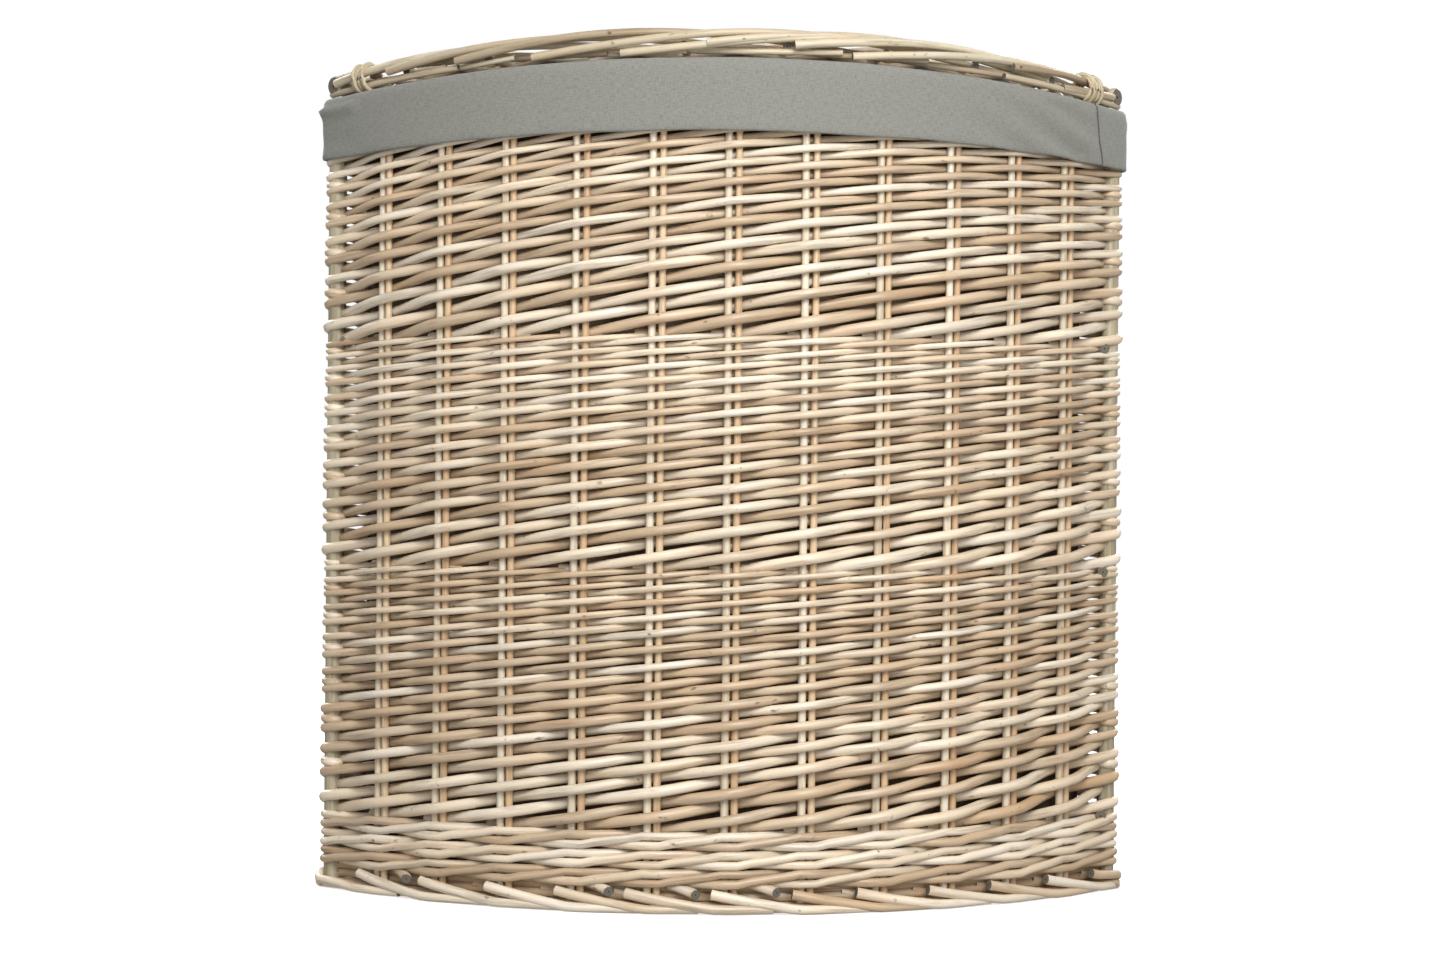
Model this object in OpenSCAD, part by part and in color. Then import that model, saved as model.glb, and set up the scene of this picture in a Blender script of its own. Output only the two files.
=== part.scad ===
// Corner laundry basket of woven willow, with a sewn cloth liner and a lid on two willow loops.
// Millimetres. +Z is up, the curved front faces -Y, and the origin is under the middle of the overall box.
// Woven work (randing, wale, borders) is drawn as closed walls of its true thickness, with a channel for
// every stake, post and rib that it is woven round.

/* [Overall] */
// Width between the centres of the two front corner posts
post_span = 528; // [430:1:640]
// Height of the willow rim above the floor, at the corner posts
rim_h = 532; // [430:1:660]
// Width between the centres of the two back corner posts
back_span = 120; // [100:1:170]
// Half of the angle that the curved front takes in
front_angle = 48; // [40:1:52]
// How much higher the rim is in the middle of the front than at the posts
crown = 13; // [5:1:20]

/* [Stakes and posts] */
// Corner post diameter
post_d = 12; // [9:0.5:15]
// Stake diameter
stake_d = 5.2; // [4:0.1:7]
// Diameter of the by-stake beside each stake
by_stake_d = 4.8; // [3.5:0.1:6]
// Gap between a stake and its by-stake
pair_gap = 1.2; // [0.4:0.1:3]
// Number of stakes in the curved front, between the posts
front_count = 11; // [7:1:13]
// Number of stakes in each straight side, between the posts
side_count = 5; // [3:1:7]
// Number of stakes in the short back wall
back_count = 2; // [2:2:2]
// Depth to which stakes and posts are let into the foot and the top border
socket = 8; // [4:1:11]

/* [Weaving] */
// Thickness of the woven wall over a stake
wall_t = 18; // [14:0.5:22]
// Radius of the weaving where it turns round a corner post
corner_r = 11; // [10:0.5:15]
// Height of the foot border
foot_h = 15; // [12:1:24]
// Height of the ledge inside the foot border, which carries the base
ledge_h = 9; // [6:0.5:11]
// Width of that ledge
ledge_w = 16; // [10:1:30]
// Height of one round of wale
wale_h = 12.6; // [9:0.1:16]
// Height of the lower band of randing
lower_h = 167; // [100:1:180]
// Height of the middle band of randing
middle_h = 151; // [80:1:160]
// Height of the top border
border_h = 16; // [12:0.5:22]

/* [Base] */
// Thickness of the woven base
base_t = 11; // [9:0.5:16]
// Base stick diameter
base_stick_d = 7; // [5:0.5:7]
// Number of base sticks
base_stick_count = 7; // [5:2:9]
// Spacing of the base sticks
base_stick_pitch = 56; // [40:1:58]

/* [Liner] */
// Thickness of the cloth, hems included
cloth_t = 1.6; // [1:0.1:2.5]
// How far the cuff hangs down the outside of the basket
cuff_drop = 40; // [30:1:60]
// Width of the slit in the cuff at each hinge loop
slit_w = 7; // [6:0.5:10]

/* [Lid] */
// Diameter of the two side sticks of the lid
side_stick_d = 13; // [11:0.5:16]
// Diameter of the stick that the lid turns on
hinge_stick_d = 10; // [8:0.5:11]
// Diameter of the tenons at the ends of the hinge stick
tenon_d = 6; // [4:0.5:7]
// Rib diameter
rib_d = 6; // [4:0.5:7]
// Number of ribs, fanned out from the back
rib_count = 8; // [8:1:8]
// Thickness of the woven panel of the lid
panel_t = 13; // [11:0.5:16]
// Height of the plaited front border of the lid
lid_border_h = 17; // [14:0.5:20]
// Width of the plaited front border of the lid
lid_border_w = 17; // [14:0.5:20]
// How far the side sticks run past the posts at the front
stick_overrun = 6; // [0:0.5:9]
// Width of the binding round each end of the front border
bind_w = 9; // [5:0.5:12]
// Thickness of that binding
bind_t = 2; // [1.5:0.1:2.5]
// Distance of each binding from the end of the border, along it
bind_in = 30; // [24:1:40]

/* [Hinge loops] */
// Thickness of the willow loops
loop_d = 4; // [3:0.1:4.5]
// Clearance between a loop and the stick that turns in it
loop_play = 0.35; // [0.3:0.05:0.6]

/* [Hidden] */
$fn = 96;
fit = 0.15; // clearance round a stake, post, stick or tenon in its channel
seat = 0.3; // clearance between a soft or woven piece and its neighbour
wall_half = wall_t / 2;
half = post_span / 2;
arc_r = half / sin(front_angle);
bulge = arc_r - arc_r * cos(front_angle);
side_run = half - back_span / 2; // the straight sides run back at 45 degrees
loop_half = wall_half + seat * 2 + loop_d / 2; // half width of a hinge loop, at its centre line
front_reach = bulge + wall_half + seat + cloth_t;
back_reach = side_run + loop_half + loop_d / 2;
post_y = (front_reach - back_reach) / 2; // the front posts' line, with the overall box centred on Y
arc_y = post_y + arc_r * cos(front_angle);
back_y = post_y + side_run;
crown_r = (half * half + crown * crown) / (2 * crown);
far = 1200;

// Heights, from the floor up
base_z = ledge_h;
base_top = base_z + base_t;
lower_z = foot_h + 3 * wale_h;
middle_z = lower_z + lower_h;
upper_z = middle_z + middle_h;
border_z = rim_h - border_h;
top_wale_z = border_z - wale_h;
cuff_z = rim_h - cuff_drop;
cuff_top = rim_h + seat + cloth_t;
liner_in = corner_r + seat; // the bag hangs this far inside the wall's centre line
lid_z = cuff_top + 0.6 + bind_t + seat; // underside of the lid's border, at the posts
stick_z = lid_z + side_stick_d / 2;
tie_d = 3; // thickness of the tongue that ties each rib round the hinge stick
tie_r = hinge_stick_d / 2 + fit + tie_d / 2;
rib_pitch = 2 * (back_span / 2 - side_stick_d / sqrt(2) - tie_r - tie_d - seat) / (rib_count - 1);
loop_x = 3 * rib_pitch + 1.5; // between two ribs, a little out because they fan out
post_drop = 3; // the posts end this far under the top of the border

// ---- The plan: four posts, and the stakes between them ----

front_left = [-half, post_y];
front_right = [half, post_y];
back_right = [back_span / 2, back_y];
back_left = [-back_span / 2, back_y];
posts = [front_left, front_right, back_right, back_left];

// Point on the curved front, or concentric with it, at angle a from the middle
function arc_point(a, r = arc_r) = [r * sin(a), arc_y - r * cos(a)];
// Stations are [x, y, direction of the wall]
function front_stations() =
    [for (i = [1:front_count]) let (a = front_angle * (2 * i / (front_count + 1) - 1))
        [arc_point(a).x, arc_point(a).y, a]];
function wall_stations(p, q, n) =
    [for (i = [1:n]) let (s = p + (q - p) * i / (n + 1)) [s.x, s.y, atan2(q.y - p.y, q.x - p.x)]];
function right_stations() = wall_stations(front_right, back_right, side_count);
function back_stations() = wall_stations(back_right, back_left, back_count);
function left_stations() = wall_stations(back_left, front_left, side_count);
function all_stations() = concat(front_stations(), right_stations(), back_stations(), left_stations());

// Height of the crowned rim above its height at the posts, on the curved front only
function crown_at(x) = sqrt(crown_r * crown_r - x * x) - crown_r + crown;
function in_front(s) = s.y < post_y;
function lift(s) = in_front(s) ? crown_at(s.x) : 0;

// ---- Plan shapes ----

// The floor inside the wall's centre line, grown by e, with square corners
module inside_2d(e) {
    slant = half + e * sqrt(2); // x + (y - post_y) along the right side
    back = side_run + e;
    intersection() {
        translate([0, arc_y]) circle(r = arc_r + e);
        translate([0, post_y]) polygon([
            [slant - back, back], [-(slant - back), back], [-(slant + far), -far], [slant + far, -far]
        ]);
    }
}

// The curved front, from e1 to e2 outside its centre line
module front_band_2d(e1, e2) {
    intersection() {
        translate([0, arc_y]) difference() {
            circle(r = arc_r + e2);
            circle(r = arc_r + e1);
        }
        translate([0, arc_y]) polygon([
            [0, 0], far * [-sin(front_angle), -cos(front_angle)], [0, -2 * far],
            far * [sin(front_angle), -cos(front_angle)]
        ]);
    }
}

// One straight wall from p to q, from e1 to e2 outside its centre line
module straight_band_2d(p, q, e1, e2) {
    translate(p) rotate(atan2(q.y - p.y, q.x - p.x)) translate([0, -e2]) square([norm(q - p), e2 - e1]);
}

// The whole wall, from e1 to e2 outside its centre line, with a round of radius r at each post
module wall_2d(e1, e2, r) {
    front_band_2d(e1, e2);
    straight_band_2d(front_right, back_right, e1, e2);
    straight_band_2d(back_right, back_left, e1, e2);
    straight_band_2d(back_left, front_left, e1, e2);
    for (p = posts) translate(p) circle(r = r);
}

// The wall and the floor inside it
module filled_2d(e, r) {
    inside_2d(-1);
    wall_2d(-wall_half, e, r);
}

// The part of the plan that belongs to one wall, cut from the middle of the floor out through the posts
module sector_2d(p, q) {
    middle = [0, post_y + side_run / 2];
    polygon([middle, middle + far / norm(p - middle) * (p - middle), [0, middle.y] + 2 * far * unit(p + q - 2 * middle),
        middle + far / norm(q - middle) * (q - middle)]);
}
function unit(v) = v / norm(v);
module front_2d() { sector_2d(front_left, front_right); }

// Channels for the pairs of stakes and for the posts
module pair_channel_2d() {
    square([stake_d + pair_gap + by_stake_d + 2 * fit, max(stake_d, by_stake_d) + 2 * fit], center = true);
}
module post_channels_2d() {
    for (p = posts) translate(p) circle(d = post_d + 2 * fit);
}
module channels_2d() {
    for (s = all_stations()) translate([s.x, s.y]) rotate(s.z) pair_channel_2d();
    post_channels_2d();
}

// ---- Layers of the wall ----

// Everything under height z, or under the crowned surface that is at height z over the posts
module under(z, crowned) {
    if (crowned) translate([0, 0, z + crown - crown_r])
        rotate([90, 0, 0]) cylinder(r = crown_r, h = 2 * far, center = true, $fn = 720);
    else translate([-far, -far, z - far]) cube([2 * far, 2 * far, far]);
}

// A plan shape between two heights, where the front follows the crown if it is asked to
module front_layer(z1, z2, crown1, crown2) {
    intersection() {
        difference() {
            translate([0, 0, z1 - 1]) linear_extrude(z2 - z1 + crown + 2) intersection() {
                children();
                front_2d();
            }
            under(z1, crown1);
        }
        under(z2, crown2);
    }
}
module layer(z1, z2, crown1 = false, crown2 = false) {
    front_layer(z1, z2, crown1, crown2) children();
    translate([0, 0, z1]) linear_extrude(z2 - z1) difference() {
        children();
        front_2d();
    }
}

// A ring of weaving between two heights, with its channels
module ring(z1, z2) {
    translate([0, 0, z1]) linear_extrude(z2 - z1) difference() {
        wall_2d(-wall_half, wall_half, corner_r);
        channels_2d();
    }
}
module crowned_ring(z1, z2, crown1) {
    layer(z1, z2, crown1, true) difference() {
        wall_2d(-wall_half, wall_half, corner_r);
        channels_2d();
    }
}

// ---- Foot, base and stakes ----

module foot_border() color("tan") difference() {
    union() {
        linear_extrude(foot_h) wall_2d(-wall_half, wall_half, corner_r);
        linear_extrude(ledge_h) difference() {
            inside_2d(-wall_half + 1);
            inside_2d(-wall_half - ledge_w);
        }
    }
    translate([0, 0, foot_h - socket]) linear_extrude(socket + 1) channels_2d();
}

// Depth of the base plan along Y at x, inside offset e
function base_front(x, e) = arc_y - sqrt((arc_r + e) * (arc_r + e) - x * x);
function base_back(x, e) = post_y + min(side_run + e, half + e * sqrt(2) - abs(x));
base_e = -corner_r - 0.4;
function base_stick_x() = [for (i = [1:base_stick_count]) (i - (base_stick_count + 1) / 2) * base_stick_pitch];

module base_rods(d, e) {
    for (x = base_stick_x())
        translate([x, base_front(x, e), base_z + base_t / 2]) rotate([-90, 0, 0])
            cylinder(d = d, h = base_back(x, e) - base_front(x, e));
}
module base_weave() color("burlywood") difference() {
    translate([0, 0, base_z]) linear_extrude(base_t) inside_2d(base_e);
    base_rods(base_stick_d + 2 * fit, 0);
}
module base_sticks() color("tan") base_rods(base_stick_d, base_e - 4);

module post(p) color("peru") translate([p.x, p.y, foot_h - socket])
    cylinder(d = post_d, h = rim_h - post_drop - foot_h + socket);

stake_shift = (pair_gap + by_stake_d) / 2;
by_stake_shift = (pair_gap + stake_d) / 2;
function stake_top(s) = border_z + socket + lift(s);
module rods(stations, shift, d) {
    for (s = stations) translate([s.x, s.y, foot_h - socket]) rotate(s.z) translate([shift, 0, 0])
        cylinder(d = d, h = stake_top(s) - fit - foot_h + socket);
}
module stakes(stations) color("wheat") rods(stations, -stake_shift, stake_d);
module by_stakes(stations) color("bisque") rods(stations, by_stake_shift, by_stake_d);

// ---- Weaving ----

module wale_round(n) color("burlywood") ring(foot_h + (n - 1) * wale_h, foot_h + n * wale_h);
module lower_randing() color("tan") ring(lower_z, middle_z);
module middle_randing() color("tan") ring(middle_z, upper_z);
module upper_randing() color("tan") crowned_ring(upper_z, top_wale_z, false);
// The loops pass under the top border through notches in the top wale
module top_wale() color("burlywood") difference() {
    crowned_ring(top_wale_z, border_z, true);
    for (side = [-1, 1]) translate([side * loop_x, back_y, border_z - loop_d])
        translate([-loop_d / 2 - seat, -wall_t, -2 * seat]) cube([loop_d + 2 * seat, 2 * wall_t, loop_d + 1]);
}
module top_border() color("burlywood") difference() {
    layer(border_z, rim_h, true, true) difference() {
        wall_2d(-wall_half, wall_half, corner_r);
        post_channels_2d();
    }
    for (s = all_stations()) translate([s.x, s.y, 0]) rotate(s.z) linear_extrude(stake_top(s)) pair_channel_2d();
}

// ---- Liner ----

module liner_side(p, q) color("gray") translate([0, 0, base_top + cloth_t])
    linear_extrude(cuff_z - base_top - cloth_t) intersection() {
        difference() {
            inside_2d(-liner_in);
            inside_2d(-liner_in - cloth_t);
        }
        sector_2d(p, q);
    }
module liner_base_panel() color("gray") translate([0, 0, base_top]) linear_extrude(cloth_t) inside_2d(-liner_in);

// The cuff folds over the border: out over the top and down the outside
module cuff_outer_2d() difference() {
    filled_2d(wall_half + seat + cloth_t, corner_r + seat + cloth_t);
    inside_2d(-liner_in - cloth_t);
}
module cuff_inner_2d() difference() {
    filled_2d(wall_half + seat, corner_r + seat);
    inside_2d(-liner_in);
}
module cuff_front() color("gray") difference() {
    front_layer(cuff_z, cuff_top, false, true) cuff_outer_2d();
    intersection() {
        translate([0, 0, cuff_z - 1]) linear_extrude(rim_h + crown - cuff_z + 9) cuff_inner_2d();
        under(rim_h + seat, true);
    }
}
module cuff_straight(p, q) difference() {
    translate([0, 0, cuff_z]) linear_extrude(cuff_top - cuff_z) intersection() {
        cuff_outer_2d();
        sector_2d(p, q);
    }
    translate([0, 0, cuff_z - 1]) linear_extrude(rim_h + seat - cuff_z + 1) cuff_inner_2d();
}
module cuff_left() color("gray") cuff_straight(back_left, front_left);
module cuff_right() color("gray") cuff_straight(front_right, back_right);
module cuff_back() color("gray") difference() {
    cuff_straight(back_right, back_left);
    for (side = [-1, 1]) translate([side * loop_x - slit_w / 2, back_y - wall_t * 2, cuff_z - 1])
        cube([slit_w, 4 * wall_t, cuff_top - cuff_z + 2]);
}

// ---- Hinge loops ----

// Closed tube of diameter d along points of the YZ plane, given as [y, z]
module loop_tube(points, d, sides = 10) {
    n = len(points);
    rings = [for (i = [0:n - 1])
        let (t = unit(points[(i + 1) % n] - points[(i + n - 1) % n]))
        for (k = [0:sides - 1]) let (a = 360 * k / sides)
            [d / 2 * cos(a), points[i].x + d / 2 * sin(a) * t.y, points[i].y - d / 2 * sin(a) * t.x]];
    polyhedron(points = rings, faces = [for (i = [0:n - 1]) for (k = [0:sides - 1])
        let (j = (i + 1) % n, m = (k + 1) % sides)
        [i * sides + k, i * sides + m, j * sides + m, j * sides + k]], convexity = 6);
}

// Round the stick, out past the border's faces, and back under the border
function loop_points() =
    let (r = hinge_stick_d / 2 + loop_play + loop_d / 2, low = border_z - loop_d / 2 - seat,
        turn = 3.5, shoulder = rim_h + 3)
    concat(
        [for (a = [200:-22:-20]) [r * cos(a), stick_z + r * sin(a)]],
        [[loop_half - 0.8, shoulder + 1], [loop_half, shoulder - 2], [loop_half, border_z + 8]],
        [for (a = [0:-30:-90]) [loop_half - turn + turn * cos(a), low + turn + turn * sin(a)]],
        [[4, low], [-4, low]],
        [for (a = [-90:-30:-180]) [-loop_half + turn + turn * cos(a), low + turn + turn * sin(a)]],
        [[-loop_half, border_z + 8], [-loop_half, shoulder - 2], [-loop_half + 0.8, shoulder + 1]]);
module hinge_loop(side) color("sandybrown") translate([side * loop_x, back_y, 0]) loop_tube(loop_points(), loop_d);

// ---- Lid ----

// Rear and front ends of a rib's centre line; 0 and rib_count + 1 are the side sticks
function rib_rear(k) =
    let (n = rib_count + 1, stick_x = (back_span + hinge_stick_d) / 2)
    [k == 0 ? -stick_x : k == n ? stick_x : (k - n / 2) * rib_pitch, back_y - hinge_stick_d / 2, stick_z];
rib_front_r = arc_r - lid_border_w / 2;
function rib_front(k, r = rib_front_r) =
    let (p = arc_point(front_angle * (2 * k / (rib_count + 1) - 1), r)) [p.x, p.y, stick_z + crown_at(p.x)];

module rod_between(p, q, d) {
    v = q - p;
    translate(p) rotate([0, acos(v.z / norm(v)), atan2(v.y, v.x)]) cylinder(d = d, h = norm(v));
}

tenon_shoulder = back_span / 2 - side_stick_d / sqrt(2) - hinge_stick_d / 2 - seat;
tenon_end = back_span / 2 + side_stick_d / sqrt(2) - 1;

module lid_hinge_stick() color("tan") translate([0, back_y, stick_z]) rotate([0, 90, 0]) {
    cylinder(d = hinge_stick_d, h = 2 * tenon_shoulder, center = true);
    cylinder(d = tenon_d, h = 2 * tenon_end, center = true);
}
module side_stick_rod(side, d) {
    along = [side, -1, 0] / sqrt(2);
    rear = [side * back_span / 2, back_y, stick_z];
    rod_between(rear - along * side_stick_d, rear + along * (side_run * sqrt(2) + stick_overrun), d);
}
// The rear ends are rounded off about the hinge line, so that they clear the cuff as the lid turns
module lid_side_stick(side) color("peru") difference() {
    intersection() {
        side_stick_rod(side, side_stick_d);
        union() {
            translate([0, back_y, stick_z]) rotate([0, 90, 0])
                cylinder(r = stick_z - cuff_top - seat, h = 2 * back_span, center = true);
            translate([-far, back_y - far, stick_z - side_stick_d]) cube([2 * far, far, 2 * side_stick_d]);
        }
    }
    translate([0, back_y, stick_z]) rotate([0, 90, 0]) cylinder(d = tenon_d + 2 * fit, h = 2 * back_span, center = true);
}

function rib_start(k) = let (p = rib_rear(k), q = rib_front(k)) p + (q - p) * (tie_d + 2 * seat) / norm(q - p);
function rib_end(k) = rib_front(k, rib_front_r + socket);
module lid_ribs() color("wheat") for (k = [1:rib_count]) rod_between(rib_start(k), rib_end(k), rib_d);
module lid_rib_ties() color("wheat") for (k = [1:rib_count])
    translate([rib_rear(k).x, back_y, stick_z]) rotate([0, 90, 0]) rotate_extrude() translate([tie_r, 0]) circle(d = tie_d);

// One woven panel between two neighbouring ribs, or between a rib and a side stick
rear_gap = hinge_stick_d / 2 + loop_play + loop_d + 6; // leaves the loops free as the lid turns
front_gap = bind_t + 3 * seat;
function clear_of(k) = (k == 0 || k == rib_count + 1 ? side_stick_d : rib_d) / 2 + 2 * seat;
// Rear and front corners of a panel beside rib k, on its side s
function panel_edge(k, s) =
    let (p = rib_rear(k), q = rib_front(k), flat = unit([q.x - p.x, q.y - p.y]), aside = [s * clear_of(k) / -flat.y, 0, 0],
        rear = (back_y - rear_gap - p.y) / (q.y - p.y), front = 1 - front_gap / norm(q - p))
    [p + (q - p) * rear + aside, p + (q - p) * front + aside];
module lid_panel(k) {
    a = panel_edge(k, 1);
    b = panel_edge(k + 1, -1);
    up = [0, 0, panel_t / 2];
    polyhedron(points = [a[0] - up, b[0] - up, b[1] - up, a[1] - up, a[0] + up, b[0] + up, b[1] + up, a[1] + up],
        faces = [[0, 1, 2], [0, 2, 3], [4, 6, 5], [4, 7, 6], [0, 5, 1], [0, 4, 5], [1, 6, 2], [1, 5, 6],
            [2, 7, 3], [2, 6, 7], [3, 4, 0], [3, 7, 4]]);
}
module lid_weave() color("tan") for (k = [0:rib_count]) lid_panel(k);

module lid_front_border() color("burlywood") difference() {
    front_layer(lid_z, lid_z + lid_border_h, true, true) front_band_2d(-lid_border_w / 2, lid_border_w / 2);
    for (k = [1:rib_count]) rod_between(rib_start(k), rib_end(k), rib_d + 2 * fit);
    for (side = [-1, 1]) side_stick_rod(side, side_stick_d + 2 * seat);
}

// A binding is the border's own section, grown by the seat and its thickness
module bound_2d(a, e) {
    intersection() {
        front_band_2d(-lid_border_w / 2 - e, lid_border_w / 2 + e);
        translate(arc_point(a)) rotate(a) square([bind_w, 4 * lid_border_w], center = true);
    }
}
module lid_binding(side) color("sandybrown") {
    a = side * (front_angle - bind_in / arc_r * 180 / PI);
    e = seat + bind_t;
    difference() {
        front_layer(lid_z - e, lid_z + lid_border_h + e, true, true) bound_2d(a, e);
        front_layer(lid_z - seat, lid_z + lid_border_h + seat, true, true)
            front_band_2d(-lid_border_w / 2 - seat, lid_border_w / 2 + seat);
    }
}

foot_border();
base_weave();
base_sticks();
post(front_left);  // front_left_post
post(front_right);  // front_right_post
post(back_left);  // back_left_post
post(back_right);  // back_right_post
stakes(front_stations());  // front_stakes
by_stakes(front_stations());  // front_by_stakes
stakes(left_stations());  // left_stakes
by_stakes(left_stations());  // left_by_stakes
stakes(right_stations());  // right_stakes
by_stakes(right_stations());  // right_by_stakes
stakes(back_stations());  // back_stakes
by_stakes(back_stations());  // back_by_stakes
wale_round(1);  // wale_round_1
wale_round(2);  // wale_round_2
wale_round(3);  // wale_round_3
lower_randing();
middle_randing();
upper_randing();
top_wale();
top_border();
liner_base_panel();
liner_side(front_left, front_right);  // liner_front_panel
liner_side(back_left, front_left);  // liner_left_panel
liner_side(front_right, back_right);  // liner_right_panel
liner_side(back_right, back_left);  // liner_back_panel
cuff_front();
cuff_left();
cuff_right();
cuff_back();
hinge_loop(-1);  // hinge_loop_left
hinge_loop(1);  // hinge_loop_right
lid_hinge_stick();
lid_side_stick(-1);  // lid_left_stick
lid_side_stick(1);  // lid_right_stick
lid_ribs();
lid_rib_ties();
lid_weave();
lid_front_border();
lid_binding(-1);  // lid_binding_left
lid_binding(1);  // lid_binding_right
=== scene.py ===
import math
import random

import bmesh
import bpy
import numpy as np
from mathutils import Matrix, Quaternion, Vector, noise


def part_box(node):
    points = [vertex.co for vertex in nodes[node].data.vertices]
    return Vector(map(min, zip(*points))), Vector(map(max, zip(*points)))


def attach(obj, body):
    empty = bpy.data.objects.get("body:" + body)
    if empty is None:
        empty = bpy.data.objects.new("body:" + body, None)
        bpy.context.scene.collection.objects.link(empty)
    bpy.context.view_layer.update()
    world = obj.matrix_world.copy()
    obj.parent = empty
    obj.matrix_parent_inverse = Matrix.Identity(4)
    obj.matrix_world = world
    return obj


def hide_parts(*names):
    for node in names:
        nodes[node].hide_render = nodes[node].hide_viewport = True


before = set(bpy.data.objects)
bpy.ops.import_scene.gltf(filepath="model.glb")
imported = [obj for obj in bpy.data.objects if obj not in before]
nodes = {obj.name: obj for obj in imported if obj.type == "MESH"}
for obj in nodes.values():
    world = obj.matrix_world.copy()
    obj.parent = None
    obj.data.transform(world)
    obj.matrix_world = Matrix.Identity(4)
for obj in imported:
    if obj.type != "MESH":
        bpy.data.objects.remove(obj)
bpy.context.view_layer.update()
mm = 0.001
up = Vector((0, 0, 1))
noise.seed_set(5)  # otherwise the rods wander differently in each run


def middle(node):
    low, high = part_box(node)
    return (low + high) / 2


# Plan of the basket: posts and stakes in turn, counterclockwise from the left front post
plan = {
    "frontHalfAngle": 48,  # degrees
    "frontCount": 11,
    "sideCount": 5,
    "backCount": 2,
    "crown": 13 * mm,  # the rim's rise in the middle of the front
    "flat": 5.2 * mm,  # half of the stretch on which a weaver lies against a pair of stakes
    "stakeOut": 2.3 * mm,
    "postOut": 5.2 * mm,  # wraps are squeezed flat on the posts
}
corners = [middle(n) for n in ("front_left_post", "front_right_post", "back_right_post", "back_left_post")]
frontLeft, frontRight, backRight, backLeft = [Vector((c.x, c.y, 0)) for c in corners]
half = frontRight.x
arcRadius = half / math.sin(math.radians(plan["frontHalfAngle"]))
arcCentre = Vector((0, frontLeft.y + arcRadius * math.cos(math.radians(plan["frontHalfAngle"])), 0))
crownRadius = (half ** 2 + plan["crown"] ** 2) / (2 * plan["crown"])


def crownAt(x):
    x = min(abs(x), half)
    return math.sqrt(crownRadius ** 2 - x ** 2) - crownRadius + plan["crown"]


def arcPoint(degrees, radius):
    a = math.radians(degrees)
    return arcCentre + Vector((radius * math.sin(a), -radius * math.cos(a), 0))


def along(degrees):
    a = math.radians(degrees)
    return Vector((math.cos(a), math.sin(a), 0))


def outward(degrees):
    a = math.radians(degrees)
    return Vector((math.sin(a), -math.cos(a), 0))


def makeStations():
    found = []

    def post(place, angleIn, angleOut):
        found.append({"at": place, "in": angleIn, "out": angleOut, "post": True})

    def wall(a, b, count, angle):
        for i in range(1, count + 1):
            found.append({"at": a.lerp(b, i / (count + 1)), "in": angle, "out": angle, "post": False})

    h = plan["frontHalfAngle"]
    post(frontLeft, -135, -h)
    for i in range(1, plan["frontCount"] + 1):
        a = h * (2 * i / (plan["frontCount"] + 1) - 1)
        found.append({"at": arcPoint(a, arcRadius), "in": a, "out": a, "post": False})
    post(frontRight, h, 135)
    wall(frontRight, backRight, plan["sideCount"], 135)
    post(backRight, 135, 180)
    wall(backRight, backLeft, plan["backCount"], 180)
    post(backLeft, 180, 225)
    wall(backLeft, frontLeft, plan["sideCount"], 225)
    for s in found:
        s["crown"] = crownAt(s["at"].x) if s["at"].y < frontLeft.y else 0
    return found


stations = makeStations()
stationCount = len(stations)
cornerStations = [i for i, s in enumerate(stations) if s["post"]]
print("plan:", stationCount, "stakes and posts")


# Materials: every colour is an sRGB hex code
def hexColour(code):
    parts = [int(code[i:i + 2], 16) / 255 for i in (0, 2, 4)]
    return [c / 12.92 if c <= 0.04045 else ((c + 0.055) / 1.055) ** 2.4 for c in parts] + [1]


def addNode(owner, kind, settings, output=0):
    # A socket among the settings is linked; any other value is set on the input or the node of that name
    node = owner.node_tree.nodes.new("ShaderNode" + kind)
    for key, value in settings.items():
        if isinstance(value, bpy.types.NodeSocket):
            owner.node_tree.links.new(value, node.inputs[key])
        elif key == "stops":
            while len(node.color_ramp.elements) < len(value):
                node.color_ramp.elements.new(1)
            for element, (position, code) in zip(node.color_ramp.elements, value):
                element.position = position
                element.color = hexColour(code)
        elif isinstance(key, int) or key in node.inputs:
            node.inputs[key].default_value = value
        else:
            setattr(node, key, value)
    return node.outputs[output] if node.outputs else None


def newMaterial(name):
    material = bpy.data.materials.new(name)
    material.use_nodes = True
    material.node_tree.nodes.clear()
    return material


def finishMaterial(material, settings):
    shader = addNode(material, "BsdfPrincipled", settings)
    addNode(material, "OutputMaterial", {"Surface": shader})
    return material


stain = {"data_type": "RGBA", "blend_type": "MULTIPLY"}  # in a colour mix, 0 is the amount and 6 and 7 the colours
cover = {"data_type": "RGBA", "blend_type": "MIX"}


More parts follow.
